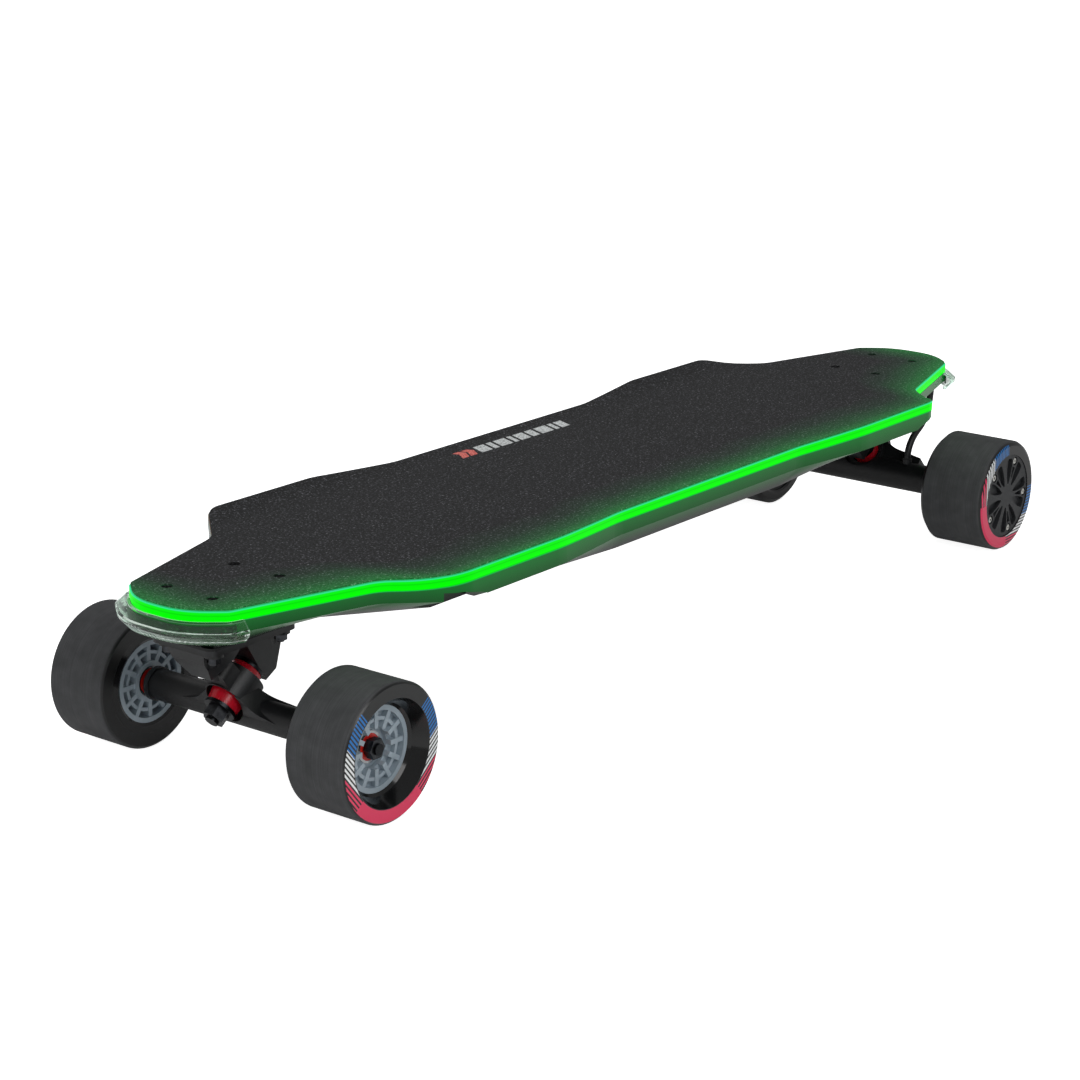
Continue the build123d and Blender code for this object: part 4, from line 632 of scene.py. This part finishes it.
def cast_tyre(name, wheel_x, face_y, print_turn, dish_radius):
    """Urethane with its sidewall print: blue, white and red stripes round a red arc."""
    tyre, tree, shader = start_finish(name, IOR=1.5)
    xyz = add(tree, "SeparateXYZ", {"Vector": add(tree, "TexCoord", {}).outputs["Object"]})
    ahead = add(tree, "Math", {0: wheel_x, 1: xyz.outputs["X"]}, operation="SUBTRACT").outputs["Value"]
    above = add(tree, "Math", {0: xyz.outputs["Z"], 1: wheel_radius}, operation="SUBTRACT").outputs["Value"]
    flat_ahead = add(tree, "Math", {0: ahead, 1: ahead}, operation="MULTIPLY").outputs["Value"]
    radius_squared = add(tree, "Math", {0: above, 1: above, 2: flat_ahead},
        operation="MULTIPLY_ADD").outputs["Value"]
    radius = add(tree, "Math", {0: radius_squared}, operation="SQRT").outputs["Value"]
    outward = add(tree, "Math", {0: xyz.outputs["Y"]}, operation="ABSOLUTE").outputs["Value"]
    on_face = add(tree, "Math", {0: outward, 1: face_y - 0.0009}, operation="GREATER_THAN").outputs["Value"]
    in_band = add(tree, "Math", {0: radius, 1: dish_radius + 0.0006},
        operation="GREATER_THAN").outputs["Value"]
    below_edge = add(tree, "Math", {0: radius, 1: print_outer_radius},
        operation="LESS_THAN").outputs["Value"]
    face_band = add(tree, "Math", {0: on_face, 1: in_band}, operation="MULTIPLY").outputs["Value"]
    printed_zone = add(tree, "Math", {0: face_band, 1: below_edge}, operation="MULTIPLY").outputs["Value"]
    # The print is mirrored about its own upright, which is turned round the wheel by print_turn.
    turned_x = add(tree, "Math", {
        0: add(tree, "Math", {0: ahead, 1: math.cos(print_turn)}, operation="MULTIPLY").outputs["Value"],
        1: add(tree, "Math", {0: above, 1: math.sin(print_turn)}, operation="MULTIPLY").outputs["Value"],
    }, operation="SUBTRACT").outputs["Value"]
    turned_z = add(tree, "Math", {
        0: add(tree, "Math", {0: ahead, 1: math.sin(print_turn)}, operation="MULTIPLY").outputs["Value"],
        1: add(tree, "Math", {0: above, 1: math.cos(print_turn)}, operation="MULTIPLY").outputs["Value"],
    }, operation="ADD").outputs["Value"]
    half_x = add(tree, "Math", {0: turned_x}, operation="ABSOLUTE").outputs["Value"]
    # Stripes run in a V: their number is told by how far they lie down it, their end by how far along.
    down_v = add(tree, "Math", {0: half_x, 1: turned_z}, operation="SUBTRACT").outputs["Value"]
    along_v = add(tree, "Math", {0: half_x, 1: turned_z}, operation="ADD").outputs["Value"]
    share_v = add(tree, "MapRange",
        {"Value": down_v, "From Min": 0.0, "From Max": print_depth}).outputs["Result"]
    band_colour = add(tree, "ValToRGB", {"Fac": share_v})
    band_colour.color_ramp.interpolation = "CONSTANT"
    band_colour.color_ramp.elements[0].color = linear("#1273C0")
    band_colour.color_ramp.elements[1].position = print_pink_from
    band_colour.color_ramp.elements[1].color = linear("#EC3A66")
    band_colour.color_ramp.elements.new(print_white_from).color = linear("#F2F4F5")
    solid_arc = add(tree, "Math", {0: along_v, 1: 0.0}, operation="LESS_THAN").outputs["Value"]
    band_or_arc = add(tree, "Mix",
        {"Factor": solid_arc, "A": band_colour.outputs["Color"], "B": linear("#E83460")},
        data_type="RGBA").outputs["Result"]
    stripe_phase = add(tree, "Math", {0: down_v, 1: stripe_pitch}, operation="DIVIDE").outputs["Value"]
    stripe_part = add(tree, "Math", {0: stripe_phase}, operation="FRACT").outputs["Value"]
    striped = add(tree, "Math", {0: stripe_part, 1: stripe_ink_share},
        operation="LESS_THAN").outputs["Value"]
    started = add(tree, "Math", {0: down_v, 1: first_stripe}, operation="GREATER_THAN").outputs["Value"]
    stripe_here = add(tree, "Math", {0: striped, 1: started}, operation="MULTIPLY").outputs["Value"]
    inked = add(tree, "Math", {0: stripe_here, 1: solid_arc}, operation="MAXIMUM").outputs["Value"]
    print_here = add(tree, "Math", {0: inked, 1: printed_zone}, operation="MULTIPLY").outputs["Value"]
    # Ground tread against moulded sides.
    on_tread = add(tree, "MapRange",
        {"Value": radius, "From Min": 0.0468, "From Max": 0.0476}).outputs["Result"]
    ring_place = add(tree, "CombineXYZ", {"X": radius, "Y": xyz.outputs["Y"], "Z": 0.0})
    rings = add(tree, "TexNoise",
        {"Vector": ring_place.outputs["Vector"], "Scale": 1400.0, "Detail": 2.0}).outputs["Fac"]
    dust = add(tree, "TexNoise",
        {"Vector": add(tree, "TexCoord", {}).outputs["Object"], "Scale": 90.0,
        "Detail": 5.0}).outputs["Fac"]
    tread_mix = add(tree, "Math", {0: rings, 1: dust}, operation="MULTIPLY").outputs["Value"]
    tread_colour = add(tree, "MapRange",
        {"Value": tread_mix, "From Min": 0.12, "From Max": 0.42}).outputs["Result"]
    tread = add(tree, "Mix", {"Factor": tread_colour, "A": linear("#38393B"), "B": linear("#4A4B4D")},
        data_type="RGBA")
    moulded = add(tree, "Mix", {"Factor": dust, "A": linear("#0C0D0E"), "B": linear("#151617")},
        data_type="RGBA")
    urethane = add(tree, "Mix",
        {"Factor": on_tread, "A": moulded.outputs["Result"], "B": tread.outputs["Result"]},
        data_type="RGBA")
    final = add(tree, "Mix", {"Factor": print_here, "A": urethane.outputs["Result"], "B": band_or_arc},
        data_type="RGBA")
    tree.links.new(final.outputs["Result"], shader.inputs["Base Color"])
    dull = add(tree, "MapRange", {"Value": on_tread, "To Min": 0.30, "To Max": 0.78}).outputs["Result"]
    in_dish = add(tree, "Math", {0: radius, 1: dish_radius}, operation="LESS_THAN").outputs["Value"]
    gloss = add(tree, "Math", {0: in_dish, 1: 0.18}, operation="MULTIPLY").outputs["Value"]
    skin = add(tree, "Math", {0: dull, 1: gloss}, operation="SUBTRACT").outputs["Value"]
    tree.links.new(skin, shader.inputs["Roughness"])
    bump = add(tree, "Bump", {"Height": tread_mix, "Strength": 0.10, "Distance": 0.0002})
    tree.links.new(bump.outputs["Normal"], shader.inputs["Normal"])
    return tyre


front_wheel_x = sum(corner.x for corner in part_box("front_left_tyre")) / 2
rear_wheel_x = sum(corner.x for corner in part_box("rear_left_tyre")) / 2
front_tyre = cast_tyre("cast_urethane_front", front_wheel_x, 0.1345, math.radians(5.5), 0.0368)
rear_tyre = cast_tyre("cast_urethane_rear", rear_wheel_x, 0.1463, math.radians(43), 0.0360)
paint(front_tyre, "front_left_tyre", "front_right_tyre")
paint(rear_tyre, "rear_left_tyre", "rear_right_tyre")

# ---- Hub motor: a turned and anodised can, and a stack of steel laminations wound with copper.
can, can_tree, can_shader = start_finish("black_anodised_aluminium", Metallic=0.6)
can_noise = add(can_tree, "TexNoise",
    {"Vector": add(can_tree, "TexCoord", {}).outputs["Object"], "Scale": 500.0, "Detail": 3.0})
can_colour = add(can_tree, "Mix",
    {"Factor": can_noise.outputs["Fac"], "A": linear("#151618"), "B": linear("#26272A")}, data_type="RGBA")
can_tree.links.new(can_colour.outputs["Result"], can_shader.inputs["Base Color"])
can_rough = add(can_tree, "MapRange", {"Value": can_noise.outputs["Fac"], "To Min": 0.3, "To Max": 0.45})
can_tree.links.new(can_rough.outputs["Result"], can_shader.inputs["Roughness"])
paint(can, "rear_left_motor_can", "rear_right_motor_can")
winding, winding_tree, winding_shader = start_finish("copper_windings", Metallic=1.0, Roughness=0.35)
turns = add(winding_tree, "TexWave",
    {"Vector": add(winding_tree, "TexCoord", {}).outputs["Object"], "Scale": 300.0}, bands_direction="X")
winding_colour = add(winding_tree, "Mix",
    {"Factor": turns.outputs["Fac"], "A": linear("#6E3516"), "B": linear("#C77B3E")}, data_type="RGBA")
winding_tree.links.new(winding_colour.outputs["Result"], winding_shader.inputs["Base Color"])
paint(winding, "motor_stators")

# ---- Motor cap: dark grey glass-filled nylon with moulded petals, held by five steel button-head screws.
petal, petal_tree, petal_shader = start_finish("dark_grey_nylon", IOR=1.5)
petal_noise = add(petal_tree, "TexNoise",
    {"Vector": add(petal_tree, "TexCoord", {}).outputs["Object"], "Scale": 650.0, "Detail": 4.0})
petal_colour = add(petal_tree, "Mix",
    {"Factor": petal_noise.outputs["Fac"], "A": linear("#1D1E20"), "B": linear("#2E3033")},
    data_type="RGBA")
petal_tree.links.new(petal_colour.outputs["Result"], petal_shader.inputs["Base Color"])
petal_rough = add(petal_tree, "MapRange",
    {"Value": petal_noise.outputs["Fac"], "To Min": 0.45, "To Max": 0.62})
petal_tree.links.new(petal_rough.outputs["Result"], petal_shader.inputs["Roughness"])
petal_bump = add(petal_tree, "Bump",
    {"Height": petal_noise.outputs["Fac"], "Strength": 0.15, "Distance": 0.0002})
petal_tree.links.new(petal_bump.outputs["Normal"], petal_shader.inputs["Normal"])
paint(petal, "rear_left_motor_cap", "rear_right_motor_cap")
bright, bright_tree, bright_shader = start_finish("stainless_steel", Metallic=1.0)
bright_noise = add(bright_tree, "TexNoise",
    {"Vector": add(bright_tree, "TexCoord", {}).outputs["Object"], "Scale": 700.0, "Detail": 3.0})
bright_colour = add(bright_tree, "Mix",
    {"Factor": bright_noise.outputs["Fac"], "A": linear("#B4B3AE"), "B": linear("#DCDBD6")},
    data_type="RGBA")
bright_tree.links.new(bright_colour.outputs["Result"], bright_shader.inputs["Base Color"])
bright_rough = add(bright_tree, "MapRange",
    {"Value": bright_noise.outputs["Fac"], "To Min": 0.2, "To Max": 0.35})
bright_tree.links.new(bright_rough.outputs["Result"], bright_shader.inputs["Roughness"])
paint(bright, "rear_left_cap_screws", "rear_right_cap_screws")

# ---- Motor cables: a round cable with a black rubber jacket, out of the shell and into the arm.
# Each bends between the deck and the steering hanger.
cable_across = 0.006
cable_route = (
    (-0.4360, 0.0450, 0.1240),
    (-0.4360, 0.0450, 0.0970),
    (-0.3985, 0.0460, 0.0790),
    (-0.3985, 0.0460, 0.0640),
)
jacket, jacket_tree, jacket_shader = start_finish("rubber_jacket", Roughness=0.5)
jacket_noise = add(jacket_tree, "TexNoise",
    {"Vector": add(jacket_tree, "TexCoord", {}).outputs["Object"], "Scale": 600.0, "Detail": 3.0})
jacket_colour = add(jacket_tree, "Mix",
    {"Factor": jacket_noise.outputs["Fac"], "A": linear("#101113"), "B": linear("#1E1F22")},
    data_type="RGBA")
jacket_tree.links.new(jacket_colour.outputs["Result"], jacket_shader.inputs["Base Color"])
for side, across in (("left", 1), ("right", -1)):
    line = bpy.data.curves.new("cable_" + side, "CURVE")
    line.dimensions = "3D"
    line.bevel_depth = cable_across / 2
    line.bevel_resolution = 6
    line.resolution_u = 16
    spline = line.splines.new("NURBS")
    spline.points.add(len(cable_route) - 1)
    for point, (x, y, z) in zip(spline.points, cable_route):
        point.co = (x, y * across, z, 1)
    spline.order_u = 3
    spline.use_endpoint_u = True
    drawn = bpy.data.objects.new("cable_line_" + side, line)
    bpy.context.scene.collection.objects.link(drawn)
    bpy.context.view_layer.update()
    cable_mesh = bpy.data.meshes.new_from_object(drawn)
    bpy.data.objects.remove(drawn)
    cable = bpy.data.objects.new("motor_cable_jacket_" + side, cable_mesh)
    cable_mesh.materials.clear()
    cable_mesh.materials.append(jacket)
    cable_mesh.polygons.foreach_set("use_smooth", [True] * len(cable_mesh.polygons))
    bpy.context.scene.collection.objects.link(cable)
    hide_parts("motor_cable_" + side)
    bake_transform(cable)
